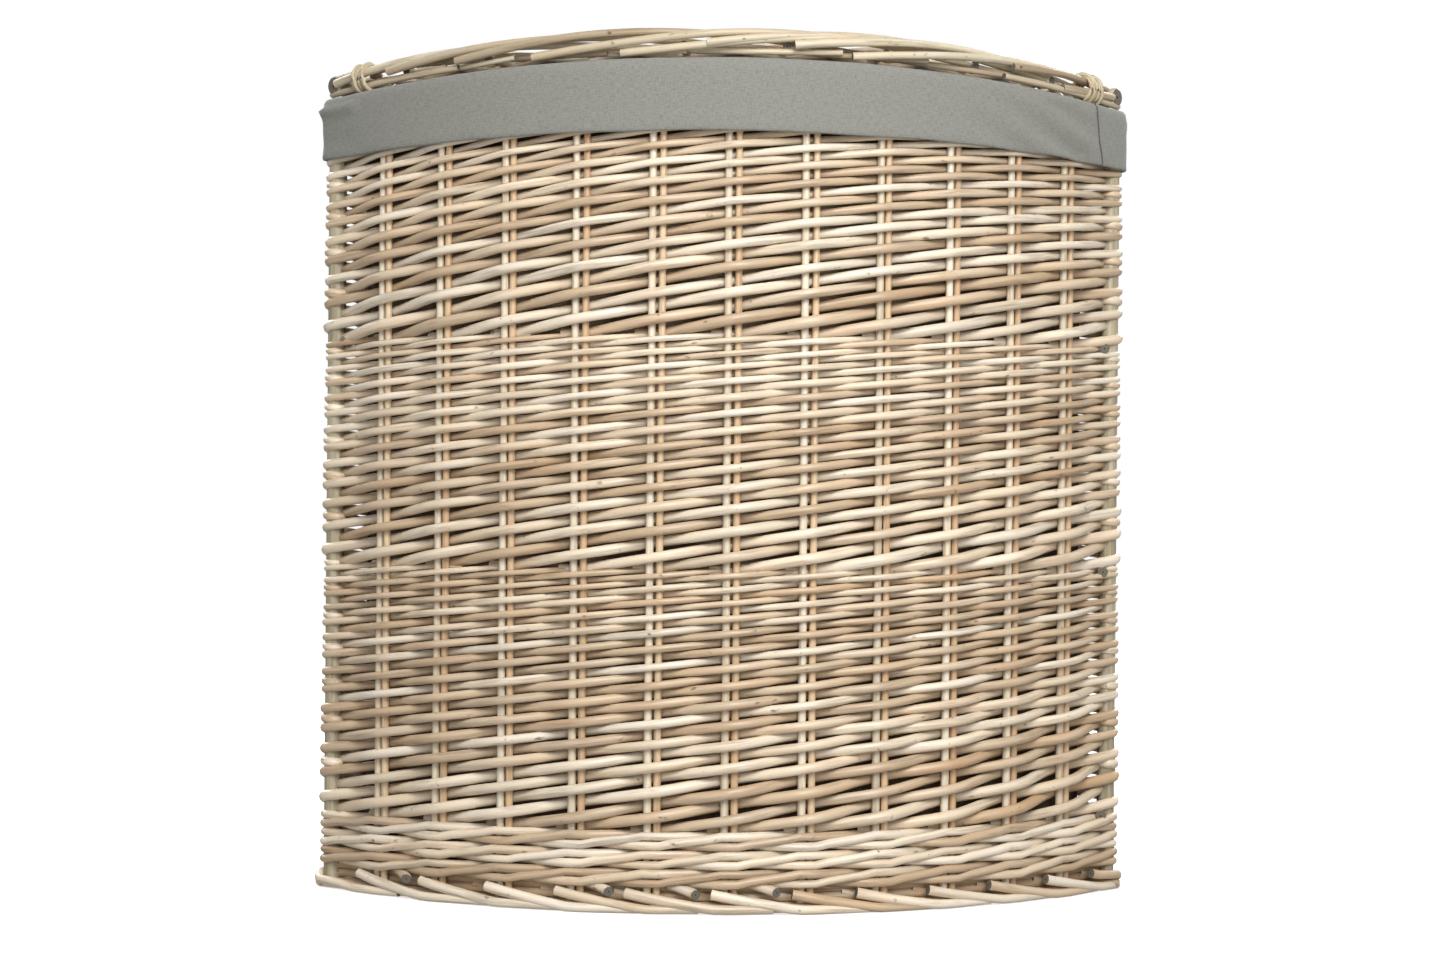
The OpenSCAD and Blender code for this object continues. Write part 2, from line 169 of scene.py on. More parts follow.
def willowRod(name, tones, roughness=0.31, fleck=0.7):
    # A round willow rod, peeled and washed: it has a tone of its own, long soft streaks and a few dark leaf scars
    m = newMaterial(name)
    uv = addNode(m, "UVMap", {"uv_map": "UVMap"})
    tone = addNode(m, "Attribute", {"attribute_name": "tone"}, "Fac")
    shift = addNode(m, "CombineXYZ", {"X": tone, "Z": tone})
    place = addNode(m, "VectorMath", {"operation": "MULTIPLY_ADD", 0: shift, 1: (37, 0, 19), 2: uv})
    # Streaks follow the rod: 40 mm long, about a sixth of the way round
    streakPlace = addNode(m, "Mapping", {"Vector": place, "Scale": (25, 6, 1)})
    streak = addNode(m, "TexNoise", {"Vector": streakPlace, "Scale": 1.0, "Detail": 5, "Roughness": 0.6})
    streakTint = addNode(m, "ValToRGB", {"Fac": streak, "stops": [(0.28, "968467"), (0.5, "ffffff"), (0.72, "fffaf0")]})
    # Patches 90 mm long: honey where the wash wore off, grey where it stayed
    patchPlace = addNode(m, "Mapping", {"Vector": place, "Scale": (11, 1.5, 1)})
    patch = addNode(m, "TexNoise", {"Vector": patchPlace, "Scale": 1.0, "Detail": 3, "Roughness": 0.5})
    patchTint = addNode(m, "ValToRGB", {"Fac": patch, "stops": [
        (0.25, "dcb48c"), (0.45, "fff6e8"), (0.6, "ffffff"), (0.78, "d2d0c2")]})
    colour = addNode(m, "ValToRGB", {"Fac": tone, "stops": tones})
    colour = addNode(m, "Mix", {**stain, 0: 0.55, 6: colour, 7: streakTint}, 2)
    colour = addNode(m, "Mix", {**stain, 0: 0.5, 6: colour, 7: patchTint}, 2)
    # Leaf scars and bruises 2 to 3 mm long, one every few centimetres
    fleckPlace = addNode(m, "Mapping", {"Vector": place, "Scale": (150, 3.5, 1)})
    spots = addNode(m, "TexNoise", {"Vector": fleckPlace, "Scale": 1.0, "Detail": 2, "Roughness": 0.45})
    spotMask = addNode(m, "MapRange", {"Value": spots, "From Min": 0.70, "From Max": 0.78})
    spotShare = addNode(m, "Math", {"operation": "MULTIPLY", 0: spotMask, 1: fleck})
    colour = addNode(m, "Mix", {**cover, 0: spotShare, 6: colour, 7: hexColour("5a4128")}, 2)
    # Grain 8 mm long under the fingertips
    grainPlace = addNode(m, "Mapping", {"Vector": place, "Scale": (120, 14, 1)})
    grain = addNode(m, "TexNoise", {"Vector": grainPlace, "Scale": 1.0, "Detail": 4})
    bump = addNode(m, "Bump", {"Height": grain, "Strength": 0.25, "Distance": 0.4 * mm})
    bump = addNode(m, "Bump", {"Height": streak, "Normal": bump, "Strength": 0.35, "Distance": 0.6 * mm})
    rough = addNode(m, "MapRange", {"Value": streak, "To Min": roughness - 0.07, "To Max": roughness + 0.12})
    return finishMaterial(m, {"IOR": 1.5, "Specular IOR Level": 0.5, "Base Color": colour, "Roughness": rough,
                              "Normal": bump})


def cutWillow(name):
    # End grain of willow cut with shears: weathered blue-grey wood, a brown pith and a dark rim of old bark
    m = newMaterial(name)
    uv = addNode(m, "UVMap", {"uv_map": "UVMap"})
    reach = addNode(m, "VectorMath", {"operation": "LENGTH", 0: uv}, "Value")
    rings = addNode(m, "ValToRGB", {"Fac": reach, "stops": [
        (0.0, "2e241a"), (0.16, "3a2f24"), (0.24, "7d776a"), (0.55, "6b675f"), (0.82, "7d7668"), (0.97, "3c3328")]})
    fibre = addNode(m, "TexNoise", {"Vector": uv, "Scale": 9.0, "Detail": 4})
    fibreTint = addNode(m, "ValToRGB", {"Fac": fibre, "stops": [(0.3, "8a8178"), (0.65, "ffffff")]})
    colour = addNode(m, "Mix", {**stain, 0: 0.6, 6: rings, 7: fibreTint}, 2)
    bump = addNode(m, "Bump", {"Height": fibre, "Strength": 0.4, "Distance": 0.4 * mm})
    return finishMaterial(m, {"Roughness": 0.85, "Base Color": colour, "Normal": bump})


def willowStick(name, tones, axis):
    # A thick stick of peeled willow, shaved smooth: streaks along it, end grain where a face looks along it
    m = newMaterial(name)
    spot = addNode(m, "TexCoord", {}, "Object")
    normal = addNode(m, "TexCoord", {}, "Normal")
    stretch = [3.0 if abs(part) > 0.9 else 60.0 for part in axis]
    streakPlace = addNode(m, "Mapping", {"Vector": spot, "Scale": stretch})
    streak = addNode(m, "TexNoise", {"Vector": streakPlace, "Scale": 6.0, "Detail": 5, "Roughness": 0.6})
    streakTint = addNode(m, "ValToRGB", {"Fac": streak, "stops": [(0.3, "9c8c70"), (0.6, "ffffff")]})
    patch = addNode(m, "TexNoise", {"Vector": spot, "Scale": 14.0, "Detail": 3})
    colour = addNode(m, "ValToRGB", {"Fac": patch, "stops": tones})
    colour = addNode(m, "Mix", {**stain, 0: 0.7, 6: colour, 7: streakTint}, 2)
    facing = addNode(m, "VectorMath", {"operation": "DOT_PRODUCT", 0: normal, 1: axis}, "Value")
    endFace = addNode(m, "Math", {"operation": "ABSOLUTE", 0: facing})
    endMask = addNode(m, "MapRange", {"Value": endFace, "From Min": 0.85, "From Max": 0.95})
    colour = addNode(m, "Mix", {**cover, 0: endMask, 6: colour, 7: hexColour("8a8478")}, 2)
    bump = addNode(m, "Bump", {"Height": streak, "Strength": 0.3, "Distance": 0.6 * mm})
    rough = addNode(m, "MapRange", {"Value": streak, "To Min": 0.35, "To Max": 0.55})
    return finishMaterial(m, {"Specular IOR Level": 0.5, "Base Color": colour, "Roughness": rough, "Normal": bump})


def linen(name, colourCode):
    # Plain-woven slubbed flax: its threads are drawn about 0.7 mm apart, coarser than real, so that they show
    m = newMaterial(name)
    uv = addNode(m, "UVMap", {"uv_map": "UVMap"})
    acrossPlace = addNode(m, "Mapping", {"Vector": uv, "Scale": (250, 1500, 1)})
    downPlace = addNode(m, "Mapping", {"Vector": uv, "Scale": (1500, 280, 1)})
    across = addNode(m, "TexNoise", {"Vector": acrossPlace, "Scale": 1.0, "Detail": 3, "Roughness": 0.6})
    down = addNode(m, "TexNoise", {"Vector": downPlace, "Scale": 1.0, "Detail": 3, "Roughness": 0.6})
    threadStops = [(0.34, "8f8f88"), (0.5, "e9e8e2"), (0.66, "ffffff")]
    acrossTint = addNode(m, "ValToRGB", {"Fac": across, "stops": threadStops})
    downTint = addNode(m, "ValToRGB", {"Fac": down, "stops": threadStops})
    colour = addNode(m, "Mix", {**stain, 0: 0.32, 6: hexColour(colourCode), 7: acrossTint}, 2)
    colour = addNode(m, "Mix", {**stain, 0: 0.3, 6: colour, 7: downTint}, 2)
    # Husk flecks left in the yarn, 1 to 2 mm across
    huskPlace = addNode(m, "Mapping", {"Vector": uv, "Scale": (240, 420, 1)})
    husk = addNode(m, "TexNoise", {"Vector": huskPlace, "Scale": 1.0, "Detail": 2})
    huskMask = addNode(m, "MapRange", {"Value": husk, "From Min": 0.72, "From Max": 0.8, "To Max": 0.6})
    colour = addNode(m, "Mix", {**cover, 0: huskMask, 6: colour, 7: hexColour("5b5146")}, 2)
    threads = addNode(m, "Math", {"operation": "ADD", 0: across, 1: down})
    bump = addNode(m, "Bump", {"Height": threads, "Strength": 0.6, "Distance": 0.5 * mm})
    return finishMaterial(m, {"Roughness": 0.92, "Sheen Weight": 0.25, "Sheen Roughness": 0.5,
                              "Specular IOR Level": 0.2, "Base Color": colour, "Normal": bump})


# Weavers, steamed in their bark and peeled: warm cream to honey with a satin gleam
wovenWillow = willowRod("steamed willow weavers", [
    (0.0, "b9a388"), (0.2, "d0bda4"), (0.45, "ddcfb9"), (0.7, "ece0ce"), (0.9, "dacfbd"), (1.0, "c6ad8e")])
# Stakes peeled unboiled: the palest rods, almost without marks
stakeWillow = willowRod("white willow stakes", [(0.0, "d2c7b1"), (0.5, "ded4c0"), (1.0, "e9e0ce")], 0.36, 0.25)
# By-stakes boiled before they were peeled: tanned by their own bark
byStakeWillow = willowRod("buff willow stakes", [(0.0, "c9aa86"), (0.5, "d6bb98"), (1.0, "dfc9a9")], 0.36, 0.25)
cutEnd = cutWillow("cut willow end grain")
# Skein, split and planed: flat, matt and even
skeinWillow = willowRod("split willow skein", [(0.0, "b3a68b"), (1.0, "c9bea4")], 0.45, 0.2)
# Border rods left in the weather: grey-beige, drier and more spotted
greyWillow = willowRod("weathered willow border rods", [
    (0.0, "998c76"), (0.35, "b5a891"), (0.7, "cdc3ad"), (1.0, "baac93")], 0.38, 0.9)
# The lid's two sticks, weathered too: an even dull straw grey
lidStickWillow = willowRod("round willow lid stick", [(0.0, "978d78"), (0.5, "aa9e86"), (1.0, "b7ac94")], 0.45, 0.8)
# Posts: dull straw with long upright streaks
postWillow = willowStick("peeled willow post", [(0.3, "a0977f"), (0.5, "b4ab92"), (0.7, "a79c80")], (0, 0, 1))
# Sticks seen only inside or behind: straw brown, streaked across or along the basket
crossStickWillow = willowStick("peeled willow cross stick", [(0.3, "a8946f"), (0.7, "c4b08a")], (1, 0, 0))
lengthStickWillow = willowStick("peeled willow base stick", [(0.3, "a8946f"), (0.7, "c4b08a")], (0, 1, 0))
# Liner: dry grey-green linen, sewn with a darker thread; its back, seen through the gaps in the wall, is the same linen
# painted dark brown as shade
linerLinen = linen("slubbed grey linen", "8b8b85")
linerShadeBack = linen("linen back painted brown as shade", "5a4a38")
seamThread = linen("dark sewn seam", "5d5d58")
print("materials ready")


def addObject(name, data):
    thing = bpy.data.objects.new(name, data)
    bpy.context.scene.collection.objects.link(thing)
    return thing


def addPiece(name, work, materials):
    mesh = bpy.data.meshes.new(name)
    work.to_mesh(mesh)
    work.free()
    for material in materials:
        mesh.materials.append(material)
    return addObject(name, mesh)


def coverNode(node, material):
    nodes[node].data.materials.clear()
    nodes[node].data.materials.append(material)


# Every weaver, stake and stick is a round rod along a line of points, with flat cut ends
def addRods(name, rods, material, body, replaced, sides=10, twist="Z_UP", end=cutEnd):
    curve = bpy.data.curves.new(name, "CURVE")
    curve.dimensions = "3D"
    curve.bevel_depth = 1.0
    curve.bevel_resolution = sides // 2 - 2
    curve.use_fill_caps = False
    curve.twist_mode = twist
    for rod in rods:
        spline = curve.splines.new("POLY")
        spline.points.add(len(rod["points"]) - 1)
        spline.points.foreach_set("co", [c for p in rod["points"] for c in (p.x, p.y, p.z, 1)])
        spline.points.foreach_set("radius", rod["radii"])
        spline.use_cyclic_u = rod.get("closed", False)
    source = addObject(name + "Line", curve)
    bpy.context.view_layer.update()
    depsgraph = bpy.context.evaluated_depsgraph_get()
    mesh = bpy.data.meshes.new_from_object(source.evaluated_get(depsgraph), preserve_all_data_layers=True,
                                           depsgraph=depsgraph)
    bpy.data.objects.remove(source)
    mesh.materials.clear()  # before the ends get their own material, because clearing resets every face
    mesh.materials.append(material)
    mesh.materials.append(end)
    ringSides = len(mesh.vertices) // sum(len(r["points"]) for r in rods)
    rodOfVertex = np.repeat(np.arange(len(rods)), [len(r["points"]) * ringSides for r in rods])
    lengths = np.array([sum((b - a).length for a, b in zip(r["points"], r["points"][1:])) for r in rods])
    tones = np.array([r["tone"] for r in rods])
    mesh.attributes.new("tone", "FLOAT", "POINT").data.foreach_set("value", tones[rodOfVertex])
    # The map runs in metres along each rod
    loopVertex = np.zeros(len(mesh.loops), int)
    mesh.loops.foreach_get("vertex_index", loopVertex)
    uv = np.zeros(len(mesh.loops) * 2)
    uvLayer = mesh.uv_layers[0]
    uvLayer.data.foreach_get("uv", uv)
    uv[0::2] *= lengths[rodOfVertex[loopVertex]]
    uvLayer.data.foreach_set("uv", uv)
    uvLayer.name = "UVMap"
    work = bmesh.new()
    work.from_mesh(mesh)
    for face in work.faces:
        face.smooth = True
    layer = work.loops.layers.uv[0]
    openEdges = [e for e in work.edges if e.is_boundary]
    for face in bmesh.ops.holes_fill(work, edges=openEdges, sides=ringSides)["faces"]:
        face.material_index = 1
        face.smooth = False
        centre = face.calc_center_median()
        across = face.verts[0].co - centre
        size = across.length
        across.normalize()
        upward = face.normal.cross(across)
        for corner in face.loops:
            away = corner.vert.co - centre
            corner[layer].uv = (away.dot(across) / size, away.dot(upward) / size)
        for edge in face.edges:
            edge.smooth = False
    bmesh.ops.recalc_face_normals(work, faces=work.faces)
    work.to_mesh(mesh)
    work.free()
    mesh.name = name
    piece = addObject(name, mesh)
    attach(piece, body)
    if replaced:
        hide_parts(*replaced)
    print("made", name, len(mesh.polygons), "faces")
    return piece


def wander(rod, amount, seed, scale=14):
    # A rod is never quite straight
    for i, p in enumerate(rod["points"]):
        rod["points"][i] = p + amount * noise.noise_vector(p * scale + Vector((seed * 7.3, seed * 1.7, seed)))
    return rod


# Weaving: a weaver runs round the stakes from step to step
weaving = {
    "flatShare": 0.1,  # a weaver keeps its height for this share of a bay before and after a stake
    "squeeze": 0.93,  # of a weaver's radius, where it lies against the stakes
    "postSqueeze": 0.15,
    "wrapRise": 1.7,  # radii climbed in half a turn round a post
    "insidePost": 4 * mm,  # half of a weaver's straight stretch behind a post
    "bulge": 0.3,  # swing between two stakes beyond a straight crossing
    "bay": 4.6 * mm,
    "lead": 9 * mm,  # an end runs on past its last stake
    "tip": 0.8,
    "wander": 0.4 * mm,
}


def stationLine(station, side, radius, ring):
    # Points where a weaver lies against a pair of stakes or turns round a post, each with its place in the bay
    place, turn = station["at"], station["out"] - station["in"]
    flat = weaving["flatShare"]
    if not station["post"]:
        out = outward(station["in"]) * side * (plan["stakeOut"] + radius * weaving["squeeze"])
        step = along(station["in"]) * plan["flat"]
        return [(place - step + out, -flat), (place + out, 0), (place + step + out, flat)]
    facing = station["in"] + turn / 2
    reach = plan["postOut"] + radius * weaving["postSqueeze"]
    if ring:
        return [(place + outward(facing + 180 - f * 360) * reach, (f - 0.5) * 0.5) for f in [i / 12 for i in range(13)]]
    if side > 0:
        return [(place + outward(station["in"] + turn * f) * reach, (f - 0.5) * 0.3)
                for f in (-0.06, 0.15, 0.38, 0.62, 0.85, 1.06)]
    step = along(facing) * weaving["insidePost"]
    out = outward(facing) * -reach
    return [(place - step + out, -flat), (place + step + out, flat)]


def weave(steps, tone, seed, closed=False):
    # A step has a station, side, height and radius; a wale's step also has the heights where it arrives and leaves
    points, radii = [], []
    lines = [stationLine(stations[s["station"] % stationCount], s["side"], s["radius"], s.get("ring", False))
             for s in steps]
    total = len(steps)
    flat = weaving["flatShare"]
    for k, step in enumerate(steps):
        line = lines[k]
        before = steps[k - 1] if (k or closed) else step
        after = steps[(k + 1) % total] if (k < total - 1 or closed) else step
        for point, f in line:
            if step.get("ring"):
                z = step["height"] + f * weaving["wrapRise"] * step["radius"]
            elif "arrive" in step:
                z = step["arrive"] + (step["leave"] - step["arrive"]) * min(1, max(0, 5 * f + 0.5))
            elif f < 0:
                z = step["height"] + (step["height"] - before["height"]) * f
            else:
                z = step["height"] + (after["height"] - step["height"]) * f
            points.append(Vector((point.x, point.y, z)))
            radii.append(step["radius"])
        if k == total - 1 and not closed:
            break
        nextLine = lines[(k + 1) % total]
        a, b = line[-1][0], nextLine[0][0]
        startShare = flat if step.get("ring") else line[-1][1]
        endShare = 1 + (-flat if after.get("ring") else nextLine[0][1])
        station, following = stations[step["station"] % stationCount], stations[after["station"] % stationCount]
        middleOut = (outward(station["out"]) + outward(following["in"])).normalized()
        swing = after["side"] - step["side"]
        leave, arrive = step.get("leave", step["height"]), after.get("arrive", after["height"])
        reach = weaving["bay"] + (step["radius"] + after["radius"]) / 2
        for f in (0.22, 0.5, 0.78):
            bend = (f * f * (3 - 2 * f) - f) * weaving["bulge"] * swing * reach
            point = a.lerp(b, f) + middleOut * bend
            share = startShare + (endShare - startShare) * f
            points.append(Vector((point.x, point.y, leave + (arrive - leave) * share)))
            radii.append(step["radius"] + (after["radius"] - step["radius"]) * f)
    if not closed:
        first, last = (points[0] - points[1]).normalized(), (points[-1] - points[-2]).normalized()
        points = [points[0] + first * weaving["lead"]] + points + [points[-1] + last * weaving["lead"]]
        radii = [radii[0]] + radii + [radii[-1] * weaving["tip"]]
    rod = {"points": points, "radii": radii, "tone": tone, "closed": closed}
    return wander(rod, weaving["wander"], seed)


# French randing: one weaver starts at each stake and goes in front of one and behind the next, a step higher each time
randing = {
    "fill": 0.468,  # of a step, as the weaver's radius
    "uneven": 0.04,
    "sink": 3.4 * mm,  # the first layers settle into the band below
    "settled": 5,  # layers
    "edge": 0.54,  # of a step, from the band's edge to the middle of its first or last layer
    "overlap": 2.6 * mm,  # the last layers reach up to the next band
    "wrapEvery": 4,  # layers between two full turns round a post
}
bands = {
    "lower_randing": {"name": "lowerRanding", "seed": 11, "layers": 29, "firstStep": 7.9 * mm,
                      "lastStep": 4.0 * mm, "crowned": 0},
    "middle_randing": {"name": "middleRanding", "seed": 47, "layers": 27, "firstStep": 7.8 * mm,
                       "lastStep": 4.0 * mm, "crowned": 0},
    "upper_randing": {"name": "upperRanding", "seed": 83, "layers": 23, "firstStep": 7.8 * mm,
                      "lastStep": 4.3 * mm, "crowned": 1},
}


def makeBand(node, band):
    rng = random.Random(band["seed"])
    low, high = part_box(node)
    top = high.z - band["crowned"] * plan["crown"]
    first, last = band["firstStep"], band["lastStep"]
    rods = []
    for w in range(stationCount):
        tone = rng.random()
        fat = rng.uniform(0.93, 1.06)
        rise = rng.uniform(-0.4, 0.4) * mm
        dip = rng.uniform(-1.8, 0.4) * mm
        steps = []
        for layer in range(band["layers"]):
            t = layer / (band["layers"] - 1)
            share = (first * t + (last - first) * t * t / 2) / ((first + last) / 2)
            station = stations[(w + layer) % stationCount]
            dz = first + (last - first) * t
            radius = randing["fill"] * dz * fat * (1 + randing["uneven"] * math.sin(layer * 1.7 + w))
            tall = top - low.z - randing["edge"] * (first + last) + band["crowned"] * station["crown"]
            start = (dip - randing["sink"]) * max(0, 1 - layer / randing["settled"])
            z = low.z + start + randing["edge"] * first + (tall + randing["overlap"]) * share
            steps.append({"station": w + layer, "side": 1 if layer % 2 else -1, "radius": radius,
                          "height": z + rise * math.sin(layer * 0.9 + w * 2.1),
                          "ring": station["post"] and layer % randing["wrapEvery"] == 0 and layer > 0})
        rods.append(weave(steps, tone, band["seed"] + w))
    addRods(band["name"], rods, wovenWillow, "basket", [node])


for node, band in bands.items():
    makeBand(node, band)

# Three-rod wale: each rod goes in front of two stakes and behind the third
wale = {
    "radius": 2.85 * mm,
    "uneven": 0.08,
    "swing": 3.2 * mm,
    "centre": 6.3 * mm,
    "lifts": (1.4 * mm, 0.8 * mm, 0.2 * mm),  # of the three rounds on the foot, which are packed down together
    "seed": 200,
}


def waleRound(node, name, crowned, lift, seed):
    rng = random.Random(seed)
    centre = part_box(node)[0].z + wale["centre"] + lift
    rods = []
    for j in range(3):
        steps = []
        for i in range(stationCount):
            state = (i - j) % 3
            z = centre + crowned * stations[i]["crown"]
            arrive, leave = ((-1, -1), (1, 1), (1, -1))[state]  # goes in high, drops behind the stake and comes out low
            steps.append({"station": i, "side": -1 if state == 2 else 1, "height": z,
                          "arrive": z + wale["swing"] * arrive, "leave": z + wale["swing"] * leave,
                          "radius": wale["radius"] * (1 + wale["uneven"] * math.sin(i * 1.3 + j * 2 + seed))})
        rods.append(weave(steps, rng.random(), seed + j, closed=True))
    addRods(name, rods, wovenWillow, "basket", [node])


for number, lift in enumerate(wale["lifts"], 1):
    waleRound("wale_round_%d" % number, "waleRound%d" % number, 0, lift, wale["seed"] + number)
waleRound("top_wale", "topWale", 1, 0, wale["seed"] + 9)

# Stakes stand in pairs, a by-stake beside each stake
stakes = {
    "shift": -3.0 * mm,
    "radius": 2.6 * mm,
    "byShift": 3.2 * mm,
    "byRadius": 2.4 * mm,
    "wander": 0.35 * mm,
    "pitch": 42 * mm,  # between a rod's points
    "seed": 300,
}


def stakeRods(node, name, places, shift, radius, material):
    rng = random.Random(stakes["seed"] + len(name) + int(shift * 1e5))
    low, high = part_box(node)
    rods = []
    for i in places:
        station = stations[i]
        foot = station["at"] + along(station["in"]) * shift
        top = high.z - plan["crown"] + station["crown"] if station["at"].y < frontLeft.y else high.z
        count = int((top - low.z) / stakes["pitch"])
        lean = rng.uniform(-0.8, 0.8) * mm
        points = [Vector((foot.x, foot.y, low.z + (top - low.z) * k / count))
                  + along(station["in"]) * lean * k / count for k in range(count + 1)]
        radii = [radius * (1.04 - 0.12 * k / count) for k in range(count + 1)]
        rod = {"points": points, "radii": radii, "tone": rng.random()}
        rods.append(wander(rod, stakes["wander"], i, 30))
    addRods(name, rods, material, "basket", [node], twist="MINIMUM")


wallEnds = cornerStations + [stationCount]
for wall, start, stop in zip(("front", "right", "back", "left"), wallEnds, wallEnds[1:]):
    places = range(start + 1, stop)
    stakeRods(wall + "_stakes", wall + "Stakes", places, stakes["shift"], stakes["radius"], stakeWillow)
    stakeRods(wall + "_by_stakes", wall + "ByStakes", places, stakes["byShift"], stakes["byRadius"], byStakeWillow)
for post in ("front_left_post", "front_right_post", "back_left_post", "back_right_post"):
    coverNode(post, postWillow)
print("walls woven, posts peeled")


def wallPath(reach, cornerReach, spacing):
    # Points along the wall at one distance outside its centre line: place, outward direction, crown
    path = []
    for i, station in enumerate(stations):
        following = stations[(i + 1) % stationCount]
        if station["post"]:
            turn = station["out"] - station["in"]
            steps = max(3, int(math.radians(turn) * cornerReach / spacing) + 1)
            for k in range(steps + 1):
                out = outward(station["in"] + turn * k / steps)
                path.append((station["at"] + out * cornerReach, out, station["crown"]))
        gap = (following["at"] - station["at"]).length
        steps = max(2, int(gap / spacing))
        for k in range(1 if station["post"] else 0, steps):
            f = k / steps
            if i < plan["frontCount"] + 1:
                angle = station["out"] + (following["in"] - station["out"]) * f
                out = outward(angle)
                place = arcPoint(angle, arcRadius + reach)
                path.append((place, out, crownAt(place.x * arcRadius / (arcRadius + reach))))
            else:
                out = outward(station["out"])
                path.append((station["at"].lerp(following["at"], f) + out * reach, out, 0))
    return path


# Foot border: the stakes' lower ends, turned down and laid along the wall in short strokes
footBorder = {
    "radius": 3.4 * mm,
    "reach": 5.7 * mm,
    "bays": 2.0,  # stakes that a stroke passes
    "top": 13.3 * mm,
    "bottom": 3.5 * mm,
    "fall": 1.15,  # bays in which a stroke comes down
    "butt": 0.7,  # a stroke starts this share of the way to the next stake
    "creep": 0.055,  # of a bay that the strokes fall back by, at each of six stakes in the front's middle
    "creepFrom": 6,
    "insideReach": -4.2 * mm,
    "insideBays": 2.6,
    "plugs": (1, 4, 5, 6, 14, 15, 17, 20, 23, 24),  # stakes whose cut ends show
    "plugBack": 0.55,  # of a bay before the stroke
    # A plug comes out through the wall: place in the bay, reach, height and radius, the last three in mm
    "plugWay": ((0, -1.5, 18.5, 2.9), (0.16, 2.6, 17, 3.2), (0.28, 5.2, 15.2, 3.3), (0.335, 7.2, 14.4, 3.3),
                (0.35, 8.7, 14.1, 3.3)),
    # The turned-down ends' inner parts close the foot all round: reach and height in mm
    "fillings": ((-3.2, 4.2), (1.8, 4.2), (-5.5, 10.2), (-5.5, 16.0)),
    "fillingRadius": 3.2 * mm,
    "wander": 0.5 * mm,
    "seed": 400,
}


def besideWall(u, reach, z):
    # The point at a place counted in stakes along the wall, outside its centre line
    i, share = int(math.floor(u)), u - math.floor(u)
    station, following = stations[i % stationCount], stations[(i + 1) % stationCount]
    if reach > 0:
        for post, turned in ((following, (share - 0.75) * 2), (station, 0.5 + share * 2)):
            if post["post"] and 0 <= turned <= 1:
                turn = post["out"] - post["in"]
                point = post["at"] + outward(post["in"] + turn * turned) * (reach + 2 * mm)
                return Vector((point.x, point.y, z))
    start = station["at"] + outward(station["out"]) * reach
    point = start.lerp(following["at"] + outward(following["in"]) * reach, share)
    return Vector((point.x, point.y, z))


def borderStroke(start, bays, reach, radius, tone, seed):
    # Its butt shows near a stake, and its tip is cut off under the next strokes
    points, radii = [], []
    steps = int(bays * 8)
    for k in range(steps + 1):
        f = k / steps
        fall = max(0, 1 - f * bays / footBorder["fall"]) ** 1.15
        z = footBorder["bottom"] + (footBorder["top"] - footBorder["bottom"]) * fall
        points.append(besideWall(start + bays * f, reach * (1 + 0.25 * math.sin(math.pi * f)), z))
        radii.append(radius * (1 - 0.2 * f))
    return wander({"points": points, "radii": radii, "tone": tone}, footBorder["wander"], seed)


def makeFoot():
    rng = random.Random(footBorder["seed"])
    rightPost = plan["frontCount"] + 1
    rods = []
    for i in range(stationCount):
        r = footBorder["radius"] * rng.uniform(0.95, 1.06)
        creep = footBorder["creep"] * min(6, max(0, i - footBorder["creepFrom"]))
        start = i + footBorder["butt"] + rng.uniform(-0.06, 0.1) - creep
        bays = footBorder["bays"] + rng.uniform(-0.15, 0.2)
        if start < rightPost < start + bays:  # the last strokes are cut off at the post
            bays = rightPost + 0.12 - start
        rods.append(borderStroke(start, bays, footBorder["reach"], r, rng.random(), i))
        rods.append(borderStroke(i + 0.5, footBorder["insideBays"], footBorder["insideReach"], r * 0.85,
                                 rng.random(), i + 60))
        if i in footBorder["plugs"]:
            u = start - footBorder["plugBack"]
            lift = rng.uniform(-0.9, 0.9) * mm
            way = [besideWall(u + f, reach * mm, z * mm + lift) for f, reach, z, radius in footBorder["plugWay"]]
            rods.append({"points": way, "radii": [plug[3] * mm for plug in footBorder["plugWay"]],
                         "tone": rng.random()})
    # The filling rings take the darkest weaver tone, as painted shade in the foot's recess
    for reach, z in footBorder["fillings"]:
        ring = wallPath(reach * mm, (6 + reach) * mm, 12 * mm)
        rods.append({"points": [Vector((p.x, p.y, z * mm)) for p, out, crown in ring],
                     "radii": [footBorder["fillingRadius"]] * len(ring), "tone": 0.02, "closed": True})
    addRods("footBorder", rods, wovenWillow, "basket", ["foot_border"])


makeFoot()

# Rim border: four rods laid like a rope, hidden by the cuff
rimBorder = {"turns": 14, "radius": 3.2 * mm, "reach": 4.4 * mm, "strands": 4}


def makeRim():
    low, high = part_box("top_border")
    z = (low.z + high.z - plan["crown"]) / 2
    path = wallPath(0, 1.2 * mm, 9 * mm)
    rods = []
    for s in range(rimBorder["strands"]):
        points = []
        for k, (place, out, crown) in enumerate(path):
            turn = 2 * math.pi * (rimBorder["turns"] * k / len(path) + s / rimBorder["strands"])
            rise = z + crown + rimBorder["reach"] * math.sin(turn)
            points.append(place + out * rimBorder["reach"] * math.cos(turn) + up * rise)
        rods.append({"points": points, "radii": [rimBorder["radius"]] * len(points), "tone": 0.2 + 0.2 * s,
                     "closed": True})
    addRods("rimBorder", rods, wovenWillow, "basket", ["top_border"], sides=8)


makeRim()

